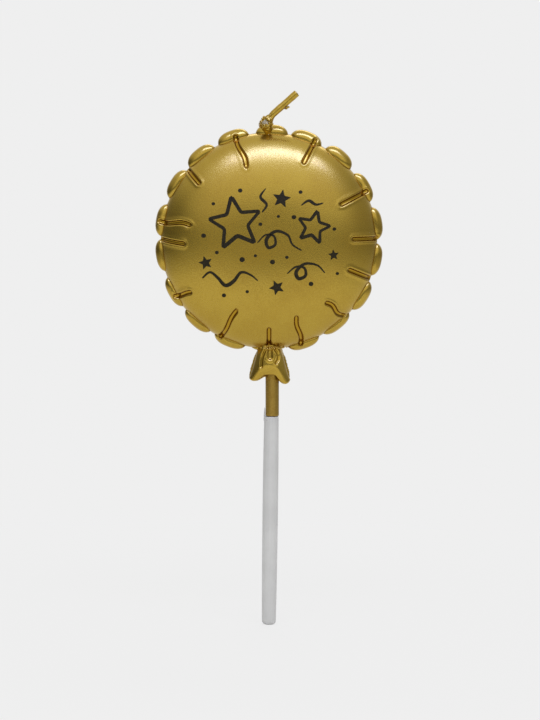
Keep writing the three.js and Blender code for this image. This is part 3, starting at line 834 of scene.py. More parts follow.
def neck_skin():
    angles, angle = [], 0
    while angle < 360:
        angles.append(math.radians(angle))
        from_side = abs((angle + 90) % 180 - 90)
        angle += NECK_COLUMN_ANGLE * (1 if from_side > NECK_FACE_ANGLE else NECK_SIDE_STRETCH)
    rings = [neck_ring(level, angles) for level in np.linspace(0, 1, NECK_RINGS)]
    rounding = NECK_WALL / 2
    for turn in np.radians(np.linspace(15, 165, 8)):
        rings.append(neck_ring(1, angles, rounding * (1 - math.cos(turn)), -rounding * math.sin(turn)))
    for step in np.linspace(0.1, 1, 8):
        level = 1 - step * NECK_RECESS / (NECK_TOP - NECK_ARCH)
        rings.append(neck_ring(level, angles, NECK_WALL))
    ceiling = NECK_ARCH + NECK_RECESS
    for share in (0.75, 0.5, 0.25):
        last = np.array(rings[-1])
        last[:, :2] = last[:, :2] * share + np.array([-NECK_ASIDE, 0]) * (1 - share)
        last[:, 2] = last[:, 2] * share + ceiling * (1 - share)
        rings.append(last)
    points, faces = closed_skin(rings, (-NECK_ASIDE, 0, NECK_TOP), (-NECK_ASIDE, 0, ceiling))
    return points, [face[::-1] for face in faces]


def side_strip(side):
    """The ragged strip of wax that the mould's joint leaves down one side of the neck."""
    proud, thickness = STRIP_SIZE
    rings = []
    for share in np.linspace(0, 1, STRIP_STEPS):
        height = STRIP_SPAN[0] + (STRIP_SPAN[1] - STRIP_SPAN[0]) * share
        half_width = neck_half((NECK_TOP - height) / (NECK_TOP - hem_height(side)))[0]
        ends = min(1, 4 * share, 5 * (1 - share))
        torn = proud * ends * (1 + RAGGED.uniform(-STRIP_RAGGEDNESS, STRIP_RAGGEDNESS))
        edge = side * (half_width - STRIP_ROOT + np.array([0, 0.9, 1, 0.9, 0]) * (torn + STRIP_ROOT))
        across = np.array([-1, -0.8, 0, 0.8, 1]) * thickness / 2
        rings.append(np.stack([edge - NECK_ASIDE, across, height + 0 * edge], axis=1))
    points, faces = closed_skin(rings)
    return points, faces if side < 0 else [face[::-1] for face in faces]


def pleat_routes(pleats):
    """The middle lines of pleats, on the neck's front and on its back."""
    routes = []
    for side in (-1, 1):
        for pleat in pleats:
            route = []
            for aside, height in smooth_line(pleat):
                half_width, half_depth = neck_half((NECK_TOP - height) / (NECK_TOP - NECK_ARCH))
                round_off = (1 - abs(aside / half_width) ** NECK_SQUARENESS) ** (1 / NECK_SQUARENESS)
                depth = half_depth * round_off
                route.append((-side * aside - NECK_ASIDE, side * depth, height))
            routes.append(route)
    return routes


def neck_rule():
    """The Geometry Nodes tree that presses the dimple and the pleats into the neck."""
    tree, (skin, finish, dimple_lines, pleat_lines, *sizes) = new_rule(
        "neck_rule", "GeometryNodeTree",
        {"Geometry": ["Skin"], "Material": ["Finish"], "Object": ["Dimple Lines", "Pleat Lines"],
         "Float": ["Dimple Half Width", "Dimple Depth", "Dimple Lip",
                   "Pleat Half Width", "Pleat Depth", "Pleat Lip"]},
        {"Geometry": ["Neck"]})
    dimpled = pressed_in(tree, skin, dimple_lines, *sizes[:3])
    return end_with_finish(tree, pressed_in(tree, dimpled, pleat_lines, *sizes[3:]), finish)


RAGGED = random.Random(5)
NECK_BRIGHT, NECK_DEEP = (0.56, 0.38, 0.05, 1), (0.48, 0.3, 0.034, 1)
neck_finish = gold_lacquer(
    "gold_wax_gloss", NECK_BRIGHT, NECK_DEEP, roughness=0.15, flake_depth=0.003, cloud_size=4, groove_shade_and_gloss=0.2)
start = new_piece("neck_start", neck_finish, neck_skin(), side_strip(-1), side_strip(1))
lines = line_guide("pleat_lines", pleat_routes(PLEATS))
dimple = line_guide("dimple_line", pleat_routes([DIMPLE]))
neck = grown_piece(
    "neck_skirt", start.data, neck_rule(), HEAD,
    dimple_lines=dimple, dimple_half_width=DIMPLE_HALF_WIDTH * MM, dimple_depth=DIMPLE_DEPTH * MM,
    dimple_lip=DIMPLE_LIP * MM, pleat_lines=lines, pleat_half_width=PLEAT_HALF_WIDTH * MM,
    pleat_depth=PLEAT_DEPTH * MM, pleat_lip=PLEAT_LIP * MM, finish=neck_finish,
)
for guide in (start, lines, dimple):
    bpy.data.objects.remove(guide)
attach(neck, "candle_head")
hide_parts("neck")

# Weld
# The neck is melted on to the balloon: a lumpy bead runs round the joint, and crumbs of wax and
# lacquer stick to it, most of them at the right.
WELD_HEIGHT = 18.0
WELD_BEAD = 0.42
BEAD_SINK, BEAD_RISE, BEAD_SWELL = (-0.35, -0.1), (-0.1, 0.25), (0.75, 1.1)
WELD_STEPS = 72
WELD_CRUMBS = 90
WELD_CRUMB_ANGLES = (-150, 150, -8)  # from, to and where most of them are
CRUMB_STRAY = 1.6  # how far out the farthest crumbs lie, at the right
CRUMB_SIZE = (0.1, 0.3)
CRUMB_STRETCH = (0.6, 1.4)
CRUMB_LUMPS = 3500.0  # the noise scale of a crumb's surface
CRUMB_LUMPINESS = 0.12


def crumb_rule():
    """The Geometry Nodes tree that puts an irregular crumb on each point, as large as the point says."""
    tree, (points, finish, seed, lumpiness) = new_rule(
        "crumb_rule", "GeometryNodeTree",
        {"Geometry": ["Points"], "Material": ["Finish"], "Int": ["Seed"], "Float": ["Lumpiness"]},
        {"Geometry": ["Crumbs"]})
    ball = node(tree, "GeometryNodeMeshIcoSphere", {0: 1.0, 1: 2})
    kind = "FunctionNodeRandomValue"
    stretch, spin = (
        node(tree, kind, {0: (low,) * 3, 1: (high,) * 3, 8: seed + draw}, data_type="FLOAT_VECTOR")
        for draw, (low, high) in enumerate((CRUMB_STRETCH, (0, 6.28)))
    )
    scale = scaled(tree, stretch, stored(tree, "size"))
    crumbs = node(tree, "GeometryNodeInstanceOnPoints", {0: points, 2: ball, 5: spin, 6: scale})
    crumbs = node(tree, "GeometryNodeRealizeInstances", {0: crumbs})
    where = node(tree, "GeometryNodeInputPosition")
    lump = node(tree, "ShaderNodeTexNoise", {0: where, 2: CRUMB_LUMPS, 3: 1.0}) - 0.5
    return end_with_finish(tree, pushed_out(tree, crumbs, lump * lumpiness), finish)


CRUMB_RULE = crumb_rule()


def crumbs_on(name, places, sizes, finish, seed):
    """One piece with a crumb on each place, in millimetres."""
    mesh = bpy.data.meshes.new(name + "_points")
    mesh.from_pydata([tuple(place) for place in np.asarray(places) * MM], [], [])
    store(mesh, "size", np.asarray(sizes) * MM)
    return grown_piece(
        name, mesh, CRUMB_RULE, HEAD, sharp=30, finish=finish, seed=seed, lumpiness=CRUMB_LUMPINESS * MM)


def weld_point(angle, out=0.0):
    half_width, half_depth = neck_half((NECK_TOP - WELD_HEIGHT) / (NECK_TOP - NECK_ARCH))
    across, forward = math.cos(angle) * (half_width + out), math.sin(angle) * (half_depth + out)
    return np.array([across - NECK_ASIDE, forward, WELD_HEIGHT])


def weld_bead():
    """The bead as a closed chain of lumps that run into each other."""
    places, sizes = [], []
    for step in range(WELD_STEPS):
        angle = 2 * math.pi * step / WELD_STEPS
        places.append(weld_point(angle, RAGGED.uniform(*BEAD_SINK)) + (0, 0, RAGGED.uniform(*BEAD_RISE)))
        sizes.append(WELD_BEAD * RAGGED.uniform(*BEAD_SWELL))
    return places, sizes


def weld_crumbs():
    places, sizes = [], []
    for _ in range(WELD_CRUMBS):
        angle = math.radians(RAGGED.triangular(*WELD_CRUMB_ANGLES))
        out = RAGGED.uniform(0, 0.5) + CRUMB_STRAY * RAGGED.random() ** 3 * max(0, math.cos(angle))
        places.append(weld_point(angle, out) + (0, 0, RAGGED.uniform(-0.15, 0.55) + out * 0.15))
        sizes.append(RAGGED.uniform(*CRUMB_SIZE))
    return places, sizes


weld_places, weld_sizes = (a + b for a, b in zip(weld_bead(), weld_crumbs()))
weld = crumbs_on("weld_crumbs", weld_places, weld_sizes, neck_finish, seed=11)
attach(weld, "candle_head")

# Wick
# A braided cotton wick stands in the wax in front of the top petal and bends to the right. Its coat of
# gold lacquered wax cracked at the bend: the lower part stayed at the root as a knobbly broken sleeve,
# and frayed cotton shows in the crack.
WICK_D = 1
WICK_ROOT = (-1.3, -1.4, 72.6)  # where it leaves the wax
WICK_IN_WAX = 40
WICK_BEND = (-0.45, -3.5, 77.99)
WICK_TIP = (6.35, -3.5, 83.99)
WICK_BEND_REACH = 1.3
WICK_STRANDS = 8
STRAND_D = 0.36
STRAND_TURN = 3.4  # millimetres of wick for one turn of a strand
COAT_D = 1.8
COAT_GAP = 0.2  # between the cotton and the coat's bore at the foot
COAT_PLUG = 1.2  # how far up inside the foot the bore ends
COAT_RIDGE = 0.004
COAT_TEAR = 0.16
COAT_RIM = ((0, 0.07), (0.02, 0.25), (0.12, 0.32))  # how far back and inwards its rings lie at the tip
COAT_SIDES = 40
COAT_FOOT = {"inner": 75.7, "outer": 78.0}  # heights of its torn lower edge
COAT_RINGS = 90
SLEEVE = [  # height, radius, and how far its middle lies to the left of the wick
    (70.8, 0.5, 0), (72.2, 0.55, 0), (73.2, 0.62, 0), (73.9, 0.86, 0.05), (74.5, 1.2, 0.3),
    (75.1, 1.45, 0.62), (75.7, 1.58, 0.82), (76.3, 1.58, 0.88), (76.9, 1.42, 0.84), (77.5, 1.16, 0.66),
    (78.05, 0.82, 0.42), (78.45, 0.4, 0.25),
]
SLEEVE_LUMP = 0.26
SLEEVE_LUMPS = ((1.6, 1.2), (4.1, 0.7))  # how fine and how strong they are
SLEEVE_LUMPS_GROW = (73.6, 75.2)  # the heights between which they grow from a quarter to their full size
FRAY_DEPTH = 0.36
SLEEVE_SIDES, SLEEVE_RINGS = 48, 60
FRAY = {"angle": -100, "half_angle": 44, "height": 76.45, "half_height": 0.9}
FRAY_STRANDS = 24
BRISTLES = 12
BRISTLE_ANGLES = (140, 215)
BRISTLE_HEIGHTS = (75.4, 77.4)
SLEEVE_CRUMBS = 60
SLEEVE_CRUMB_HEIGHTS = (74.6, 78, 76.3)  # from, to and where most of them are
SLEEVE_CRUMB_SIZE = (0.12, 0.34)
STRAY_CRUMBS = (  # aside, height and size of the flakes that hang below the coat
    (3.75, 80.15, 0.42), (4.1, 80.4, 0.34), (3.35, 79.95, 0.3), (4.35, 80.35, 0.18),
)
COTTON_COLOUR = (0.68, 0.62, 0.5, 1)
COTTON_SHADE = (0.42, 0.35, 0.24, 1)
COTTON_FLECK = (0.5, 0.34, 0.08, 1)  # specks of lacquer


def cotton():
    material, tree, shader, (cloud, grain, speck) = new_finish(
        "cotton", cloud_size=0.8, grain_size=0.06, speck_gap=0.7)
    shade = mixed(tree, grain * 0.7, COTTON_COLOUR, COTTON_SHADE)
    plug(tree, mixed(tree, speck * 0.7, shade, COTTON_FLECK), shader["Base Color"])
    shader["Roughness"].default_value = 0.6
    shader["Specular IOR Level"].default_value = 0.2
    shader["Subsurface Weight"].default_value = 0.15
    shader["Subsurface Radius"].default_value = (0.0004, 0.0003, 0.0002)
    plug(tree, bumped(tree, grain, 0.03), shader["Normal"])
    return material


def wick_route(step=0.1):
    """Points up the wick's middle, from its end in the wax, round the bend and to its tip."""
    root, bend, tip = (np.array(place) for place in (WICK_ROOT, WICK_BEND, WICK_TIP))
    foot = root - (0, 0, WICK_IN_WAX)
    into, out = ((end - bend) / np.linalg.norm(end - bend) * WICK_BEND_REACH for end in (root, tip))
    turn = [bend + into * (1 - t) ** 2 + out * t ** 2 for t in np.linspace(0, 1, 12)]
    corners = [foot, root, *turn, tip]
    route = [corners[0]]
    for start, end in zip(corners, corners[1:]):
        count = max(1, round(np.linalg.norm(end - start) / step))
        route += [start + (end - start) * (part + 1) / count for part in range(count)]
    return np.array(route)


def braid_rule():
    """The Geometry Nodes tree that winds strands both ways round a route, over and under each other."""
    tree, (route, strands, radius, thickness, turn, finish) = new_rule(
        "braid_rule", "GeometryNodeTree",
        {"Geometry": ["Route"], "Int": ["Strands"], "Float": ["Radius", "Thickness", "Turn"],
         "Material": ["Finish"]},
        {"Geometry": ["Braid"]})
    line = node(tree, "GeometryNodeMeshToCurve", {0: route})
    line = node(tree, "GeometryNodeSetCurveNormal", {0: line}, mode="MINIMUM_TWIST")
    copies = tree.nodes.new("GeometryNodeDuplicateElements")
    copies.domain = "SPLINE"
    plug(tree, line, copies.inputs[0])
    plug(tree, strands, copies.inputs[2])
    number = Value(tree, copies.outputs[1])
    along = node(tree, "GeometryNodeSplineParameter", output=1)
    across = node(tree, "GeometryNodeInputNormal")
    forward = node(tree, "GeometryNodeInputTangent")
    third = node(tree, "ShaderNodeVectorMath", {0: forward, 1: across}, operation="CROSS_PRODUCT")
    hand = number.work("MODULO", 2) * 2 - 1
    start = (number / 2).work("FLOOR") / strands * 4 * math.pi
    swing = along / turn * 2 * math.pi
    angle = start + swing * hand
    weave = (swing * strands / 2).work("SINE") * hand * thickness * 0.35
    reach = radius + weave
    first, second = (
        scaled(tree, way, angle.work(wave) * reach) for way, wave in ((across, "COSINE"), (third, "SINE")))
    offset = node(tree, "ShaderNodeVectorMath", {0: first, 1: second})
    wound = node(tree, "GeometryNodeSetPosition", {0: Value(tree, copies.outputs[0]), 3: offset})
    outline = node(tree, "GeometryNodeCurvePrimitiveCircle", {0: 6, 4: thickness / 2})
    braid = node(tree, "GeometryNodeCurveToMesh", {0: wound, 1: outline, "Fill Caps": True})
    return end_with_finish(tree, braid, finish)


def swept_skin(route, radii, sides=8):
    """A closed round skin along a route of points, with a radius for each."""
    route = np.asarray(route, float)
    forward = np.gradient(route, axis=0)
    forward /= np.linalg.norm(forward, axis=1)[:, None]
    across = np.cross(forward, (0.0, 1.0, 0.013))
    across /= np.linalg.norm(across, axis=1)[:, None]
    third = np.cross(forward, across)
    rings = []
    for middle, radius, first, second in zip(route, radii, across, third):
        angles = round_angles(sides)[:, None]
        rings.append(middle + radius * (np.cos(angles) * first + np.sin(angles) * second))
    return closed_skin(rings, route[0], route[-1])


def distances(route):
    """How far along a route each of its points lies."""
    return np.concatenate([[0], np.cumsum(np.linalg.norm(np.diff(route, axis=0), axis=1))])


def places_on(route, reach):
    """The places on a route at distances along it."""
    along = distances(route)
    return np.stack([np.interp(reach, along, axis) for axis in route.T], axis=1)


def coat_skin():
    """The coat: a tube with a torn slanted foot, faint ridges over the strands and a square-cut tip."""
    route = wick_route()
    along = distances(route)
    end = along[-1]
    angles = round_angles(COAT_SIDES)
    inner, outer = (np.interp(COAT_FOOT[side], route[:, 2], along) for side in ("inner", "outer"))
    torn = [RAGGED.uniform(-COAT_TEAR, COAT_TEAR) for _ in angles]
    foot = (inner + outer) / 2 - (outer - inner) / 2 * np.cos(angles) - 0.25 * np.sin(angles) + torn

    def ring(distance, radius):
        distance = np.broadcast_to(distance, angles.shape)
        behind, middle, ahead = (places_on(route, distance + step) for step in (-0.2, 0, 0.2))
        forward = (ahead - behind) / np.linalg.norm(ahead - behind, axis=1)[:, None]
        across = np.stack([forward[:, 2], 0 * distance, -forward[:, 0]], axis=1)
        return middle + radius[:, None] * (
            across * np.cos(angles)[:, None] + np.array([0, 1, 0]) * np.sin(angles)[:, None])

    def coated(distance):
        twist = angles - distance / STRAND_TURN * 2 * math.pi
        other = angles + distance / STRAND_TURN * 2 * math.pi
        ridges = COAT_RIDGE * (np.cos(twist * WICK_STRANDS / 2) + np.cos(other * WICK_STRANDS / 2)) / 2
        swell = 0.02 * np.sin(distance * 1.3 + 1) + 0.008 * np.sin(distance * 3.1 + 2 * angles)
        return COAT_D / 2 + ridges + swell

    bore = np.full(COAT_SIDES, WICK_D / 2 + COAT_GAP)
    rings = [ring(foot + COAT_PLUG, bore * 0.4), ring(foot + COAT_PLUG, bore), ring(foot + 0.05, bore)]
    for share in np.linspace(0, 1, COAT_RINGS):
        distance = foot + (end - 0.08 - foot) * share
        rings.append(ring(distance, coated(distance) * (0.93 if share == 0 else 1)))
    rim = coated(np.full(COAT_SIDES, end))
    rings += [ring(end - back, rim - inwards) for back, inwards in COAT_RIM]
    return closed_skin(rings)


def in_fray(angle, height):
    """1 in the middle of the crack that shows the cotton, 0 outside it."""
    turned = abs((math.degrees(angle) - FRAY["angle"] + 180) % 360 - 180) / FRAY["half_angle"]
    raised = abs(height - FRAY["height"]) / FRAY["half_height"]
    ragged = noise.noise(Vector((math.cos(angle), math.sin(angle), height)) * 2.6)
    return min(1, max(0, 1 + 0.8 * ragged - turned ** 2 - raised ** 2))


def wick_middle(height):
    root, bend = np.array(WICK_ROOT), np.array(WICK_BEND)
    return root + (bend - root) * (height - root[2]) / (bend[2] - root[2])


def sleeve_point(angle, height, out=0.0):
    radius, left = (np.interp(height, [row[0] for row in SLEEVE], [row[column] for row in SLEEVE])
                    for column in (1, 2))
    direction = np.array([math.cos(angle), math.sin(angle), 0])
    return wick_middle(height) - (left, 0, 0) + direction * (radius + out)


def sleeve_skin():
    angles = round_angles(SLEEVE_SIDES)
    rings = []
    for height in np.linspace(SLEEVE[0][0], SLEEVE[-1][0], SLEEVE_RINGS):
        ring = []
        for angle in angles:
            spot = Vector((math.cos(angle) * 1.4, math.sin(angle) * 1.4, height))
            lump = sum(noise.noise(spot * fine) * strong for fine, strong in SLEEVE_LUMPS)
            lump *= SLEEVE_LUMP * np.interp(height, SLEEVE_LUMPS_GROW, (0.25, 1))
            ring.append(sleeve_point(angle, height, lump - FRAY_DEPTH * in_fray(angle, height) ** 0.5))
        rings.append(ring)
    return closed_skin(rings)


def fray_strands():
    """Short strands of cotton that bow out of the crack every way."""
    skins = []
    for _ in range(FRAY_STRANDS):
        turn = FRAY["angle"] + FRAY["half_angle"] * FRAYED.uniform(-0.7, 0.7)
        middle = FRAY["height"] + FRAY["half_height"] * FRAYED.uniform(-0.45, 0.45)
        reach = FRAY["half_height"] * FRAYED.uniform(0.35, 0.75)
        sway, bow = FRAYED.uniform(-24, 24), FRAYED.uniform(-0.22, 0.06)
        route = [
            sleeve_point(math.radians(turn + sway * t), middle + reach * t, bow - 0.4 * t * t)
            for t in np.linspace(-1, 1, 9)
        ]
        skins.append(swept_skin(route, np.full(9, FRAYED.uniform(0.07, 0.12)), 7))
    return skins


def bristles():
    """Thin splinters of coat that stand out at the left of the sleeve."""
    skins = []
    for _ in range(BRISTLES):
        angle, height = math.radians(FRAYED.uniform(*BRISTLE_ANGLES)), FRAYED.uniform(*BRISTLE_HEIGHTS)
        lean = FRAYED.uniform(-0.25, 0.35)
        reach = FRAYED.uniform(0.25, 0.55)
        route = [
            sleeve_point(angle, height + lean * t, (reach + 0.3) * t - 0.3) for t in np.linspace(0, 1, 5)]
        skins.append(swept_skin(route, np.linspace(0.1, 0.03, 5), 6))
    return skins


FRAYED = random.Random(8)
cotton_finish = cotton()
guide = line_guide("wick_route", [wick_route(0.14)])
braid = grown_piece(
    "wick_braid", guide.data, braid_rule(), HEAD, strands=WICK_STRANDS, finish=cotton_finish,
    radius=(WICK_D - STRAND_D) / 2 * MM, thickness=STRAND_D * MM, turn=STRAND_TURN * MM)
bpy.data.objects.remove(guide)
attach(braid, "candle_head")
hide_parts("wick")

fray = new_piece("wick_fray", cotton_finish, *fray_strands(), place=HEAD, sharp=60)
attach(fray, "candle_head")

coat_finish = gold_lacquer(
    "gold_wax_coat", NECK_BRIGHT, NECK_DEEP, roughness=0.17, flake_depth=0.003, cloud_size=1.5)
coat = new_piece("wick_skin", coat_finish, coat_skin(), place=HEAD, sharp=50)
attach(coat, "candle_head")
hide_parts("wick_coat")

sleeve = new_piece("wick_sleeve", coat_finish, sleeve_skin(), *bristles(), place=HEAD, sharp=50)
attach(sleeve, "candle_head")
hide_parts("wick_collar")

crumb_places, crumb_sizes = [], []
while len(crumb_places) < SLEEVE_CRUMBS:
    angle, height = math.radians(FRAYED.uniform(0, 360)), FRAYED.triangular(*SLEEVE_CRUMB_HEIGHTS)
    if in_fray(angle, height) < 0.3:
        crumb_places.append(sleeve_point(angle, height, FRAYED.uniform(-0.05, 0.15)))
        crumb_sizes.append(FRAYED.uniform(*SLEEVE_CRUMB_SIZE))
for aside, height, size in STRAY_CRUMBS:
    crumb_places.append((aside, WICK_TIP[1] - 0.15, height))
    crumb_sizes.append(size)
crumbs = crumbs_on("wick_crumbs", crumb_places, crumb_sizes, coat_finish, seed=23)
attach(crumbs, "candle_head")

# Print
# A loose drawing in black ink on the front: stars, curling streamers and dots, laid on the pillow as
# a thin film that follows its curve.
INK_COLOUR = (0.014, 0.011, 0.004, 1)
INK_GREY = (0.0308, 0.0242, 0.0088, 1)
INK_LIFT = 0.055
INK_SINK = 0.12
INK_STEP = 0.3
# across, up, reach and tilt, and for an outlined star the width of its line
OUTLINED_STARS = [(-8.6, 4.6, 7.0, 9, 1.0), (11.4, 3.6, 4.4, -14, 0.85)]
SOLID_STARS = [
    (3.2, 10.9, 2.5, -10), (-16.3, -5.6, 1.9, 16), (2.0, -11.9, 2.1, 24), (16.6, -3.6, 1.5, 5),
]
STAR_WAIST = 0.45
STAR_ROUNDING = 0.12
STAR_LINE_SWAY = (1, 0.85, 1.1, 0.8, 1)  # how the width of an outlined star's line changes on its way
STREAMERS = [  # points down the middle, and the widths at the start, the middle and the end
    ([(-17.2, -9.6), (-15.2, -8.0), (-13.2, -9.4), (-11.2, -11.4), (-9.0, -10.2), (-7.2, -8.0),
      (-4.8, -8.6), (-2.8, -10.2)], (0.45, 1.05, 0.3)),
    ([(-3.0, -0.4), (-1.0, 1.6), (1.2, 1.4), (1.6, -0.8), (-0.2, -1.6), (-0.6, 0.6), (1.8, 2.6),
      (4.8, 1.6), (6.0, -0.8), (8.4, -2.4)], (0.3, 0.95, 0.35)),
    ([(4.6, -8.4), (6.8, -6.6), (9.0, -6.8), (9.4, -8.8), (7.6, -9.6), (7.0, -7.8), (9.2, -5.8),
      (12.4, -6.2), (14.4, -8.2)], (0.3, 1.0, 0.3)),
    ([(-1.8, 7.4), (-0.6, 9.4), (-2.2, 11.4), (-0.8, 13.6)], (0.35, 0.85, 0.25)),
    ([(8.2, 9.2), (10.2, 10.4), (12.0, 9.4), (14.0, 9.8)], (0.3, 0.85, 0.3)),
]
DOTS = [  # across, up, radius
    (-16.8, 1.4, 0.62), (-13.4, -2.9, 0.5), (-6.9, -4.7, 0.7), (-3.5, -3.7, 0.42), (0.9, -5.3, 0.66),
    (4.6, -4.1, 0.45), (-11.6, -14.0, 0.55), (-5.6, -13.0, 0.45), (6.4, 6.2, 0.6), (8.1, 12.6, 0.5),
    (-7.4, 13.0, 0.58), (-14.3, 9.6, 0.45), (16.8, 3.1, 0.48), (10.8, -11.0, 0.62), (17.6, -8.4, 0.42),
    (2.4, 6.4, 0.42), (-2.2, 4.4, 0.5),
]
DOT_SIDES = 20
DOT_FLATNESS = 0.92


def black_ink():
    material, tree, shader, (cloud, grain, speck) = new_finish(
        "black_ink", cloud_size=5, grain_size=0.3, speck_gap=3)
    plug(tree, mixed(tree, grain, INK_COLOUR, INK_GREY), shader["Base Color"])
    plug(tree, 0.45 + cloud * 0.12, shader["Roughness"])
    shader["Specular IOR Level"].default_value = 0.15
    plug(tree, bumped(tree, grain, 0.01), shader["Normal"])
    return material


def ink_stroke(route, widths):
    """A flat stroke with round ends, as a closed skin: across, layer (1 outside, 0 inside) and up."""
    route = np.asarray(route, float)
    length = distances(route)[-1]
    share = np.linspace(0, 1, max(3, round(length / INK_STEP)))
    route = places_on(route, share * length)
    width = np.interp(share, np.linspace(0, 1, len(widths)), widths)
    reach = share * (len(route) - 1) * INK_STEP
    to_end = np.minimum(reach, reach[-1] - reach) / (width / 2)
    width = width * np.clip(1 - (1 - np.clip(to_end, 0.05, 1)) ** 2, 0, 1) ** 0.5
    forward = np.gradient(route, axis=0)
    forward /= np.linalg.norm(forward, axis=1)[:, None]
    aside = np.stack([-forward[:, 1], forward[:, 0]], axis=1) * width[:, None] / 2
    rings = []
    for middle, half in zip(route, aside):
        first, last = middle + half, middle - half
        corners = [(first, 1), (middle, 1), (last, 1), (last, 0), (first, 0)]
        rings.append([(across, layer, up) for (across, up), layer in corners])
    return closed_skin(rings)


def ink_blot(middle, outline):
    """A flat shape inside an outline that goes round anticlockwise, as a closed skin."""
    middle, outline = np.array(middle), np.asarray(outline)
    rings = []
    for share, layer in ((0.35, 1), (0.7, 1), (1, 1), (1, 0), (0.5, 0)):
        rings.append([(across, layer, up) for across, up in middle + (outline - middle) * share])
    return closed_skin(rings, (middle[0], 1, middle[1]), (middle[0], 0, middle[1]))


def star_outline(across, up, reach, tilt):
    """The outline of a star with its corners rounded off a little."""
    corners = []
    for corner in range(10):
        angle = math.radians(90 + tilt + corner * 36)
        radius = reach * (STAR_WAIST if corner % 2 else 1)
        corners.append(np.array((across + radius * math.cos(angle), up + radius * math.sin(angle))))
    route = []
    for before, corner, after in zip([corners[-1], *corners], corners, [*corners[1:], corners[0]]):
        into, out = corner + (before - corner) * STAR_ROUNDING, corner + (after - corner) * STAR_ROUNDING
        for t in (0, 0.25, 0.5, 0.75, 1):
            route.append(into * (1 - t) ** 2 + corner * 2 * t * (1 - t) + out * t ** 2)
    return route


def print_rule():
    """The Geometry Nodes tree that lays a flat drawing on the pillow's front."""
    tree, (drawing, full_radius, sag, full_depth, power, lift, sink, aside, height, finish) = new_rule(
        "print_rule", "GeometryNodeTree",
        {"Geometry": ["Drawing"],
         "Float": ["Pillow Radius", "Pillow Sag", "Pillow Depth", "Pillow Power", "Lift", "Sink", "Aside",
                   "Height"],
         "Material": ["Finish"]},
        {"Geometry": ["Print"]})
    across, layer, up = in_parts(tree, node(tree, "GeometryNodeInputPosition"))
    radius = (across * across + up * up) ** 0.5
    edge = full_radius * (1 - sag * up / radius.work("MAXIMUM", 0.0001))
    face = pillow_depth(radius, edge, full_depth, power)
    stand = (layer / MM).ramp(0, 1, -1 * sink, lift, smooth=False)
    place = node(tree, "ShaderNodeCombineXYZ", {0: across - aside, 1: (face + stand) * -1, 2: up + height})
    return end_with_finish(tree, node(tree, "GeometryNodeSetPosition", {0: drawing, 2: place}), finish)


drawing = [ink_stroke(smooth_line(points, 12), widths) for points, widths in STREAMERS]
for *star, width in OUTLINED_STARS:
    line = star_outline(*star)
    drawing.append(ink_stroke([*line, *line[:3]], [width * sway for sway in STAR_LINE_SWAY]))
for star in SOLID_STARS:
    drawing.append(ink_blot(star[:2], star_outline(*star)))
for across, up, radius in DOTS:
    angles = round_angles(DOT_SIDES)
    drawing.append(ink_blot((across, up), [
        (across + radius * math.cos(angle), up + radius * math.sin(angle) * DOT_FLATNESS)
        for angle in angles]))
ink = black_ink()
start = new_piece("print_start", ink, *drawing)
front_print = grown_piece(
    "front_print", start.data, print_rule(), HEAD, **PILLOW,
    lift=INK_LIFT * MM, sink=INK_SINK * MM, finish=ink)
bpy.data.objects.remove(start)
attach(front_print, "candle_head")

# Studio
# A pale floor under pale air, and a wide soft box in front above the camera: one lamp for mirrors and
# one for matt light. A weaker box stands behind. The gold sees dimmer air at the horizon, most of all
# round the camera, and at both sides.
PALE = 0.863
FLOOR_SIZE = 1
FLOOR_SHADOW = 0.15  # how much of the candle's shadow the floor shows
FLOOR_SHADE = 0.1  # how much dimmer the gold mirrors the floor under the candle, in its own shade
FLOOR_SHADE_RIGHT = 0.45  # the same at the right, away from the lamps
FLOOR_SHADE_LEFT = 0.5  # the same at the left
SHADOW_REACH = (0.03, 0.2)
SHADE_RIGHT_SPAN, SHADE_LEFT_SPAN = (0.1, 0.32), (-0.36, -0.14)  # metres aside
HORIZON_DIM, FRONT_DIM, LEFT_DIM, RIGHT_DIM, OVERHEAD_DIM = 0.3, 0.42, 0.78, 0.55, 0.08
FRONT_GLOW = 0.12
# where the dimness of each part of the air begins and ends, as the x, y or z of a direction
HORIZON_DROP, HORIZON_SPAN = 0.04, (0.04, 0.24)
FRONT_SPAN, LEFT_SPAN, RIGHT_SPAN, OVERHEAD_SPAN = (0.4, 0.95), (0.3, 0.95), (0.4, 0.9), (0.7, 0.98)
LEFT_HEIGHTS, LEFT_WEAKENS = (0.2, 0.65), (1, 0.35)
GLOW_HEIGHTS = (0.15, 0.4)
LAMP_AIM = Vector((0, 0, 0.09))
LAMP_DISTANCE = 1.4
bpy.context.scene.view_settings.view_transform = "Standard"


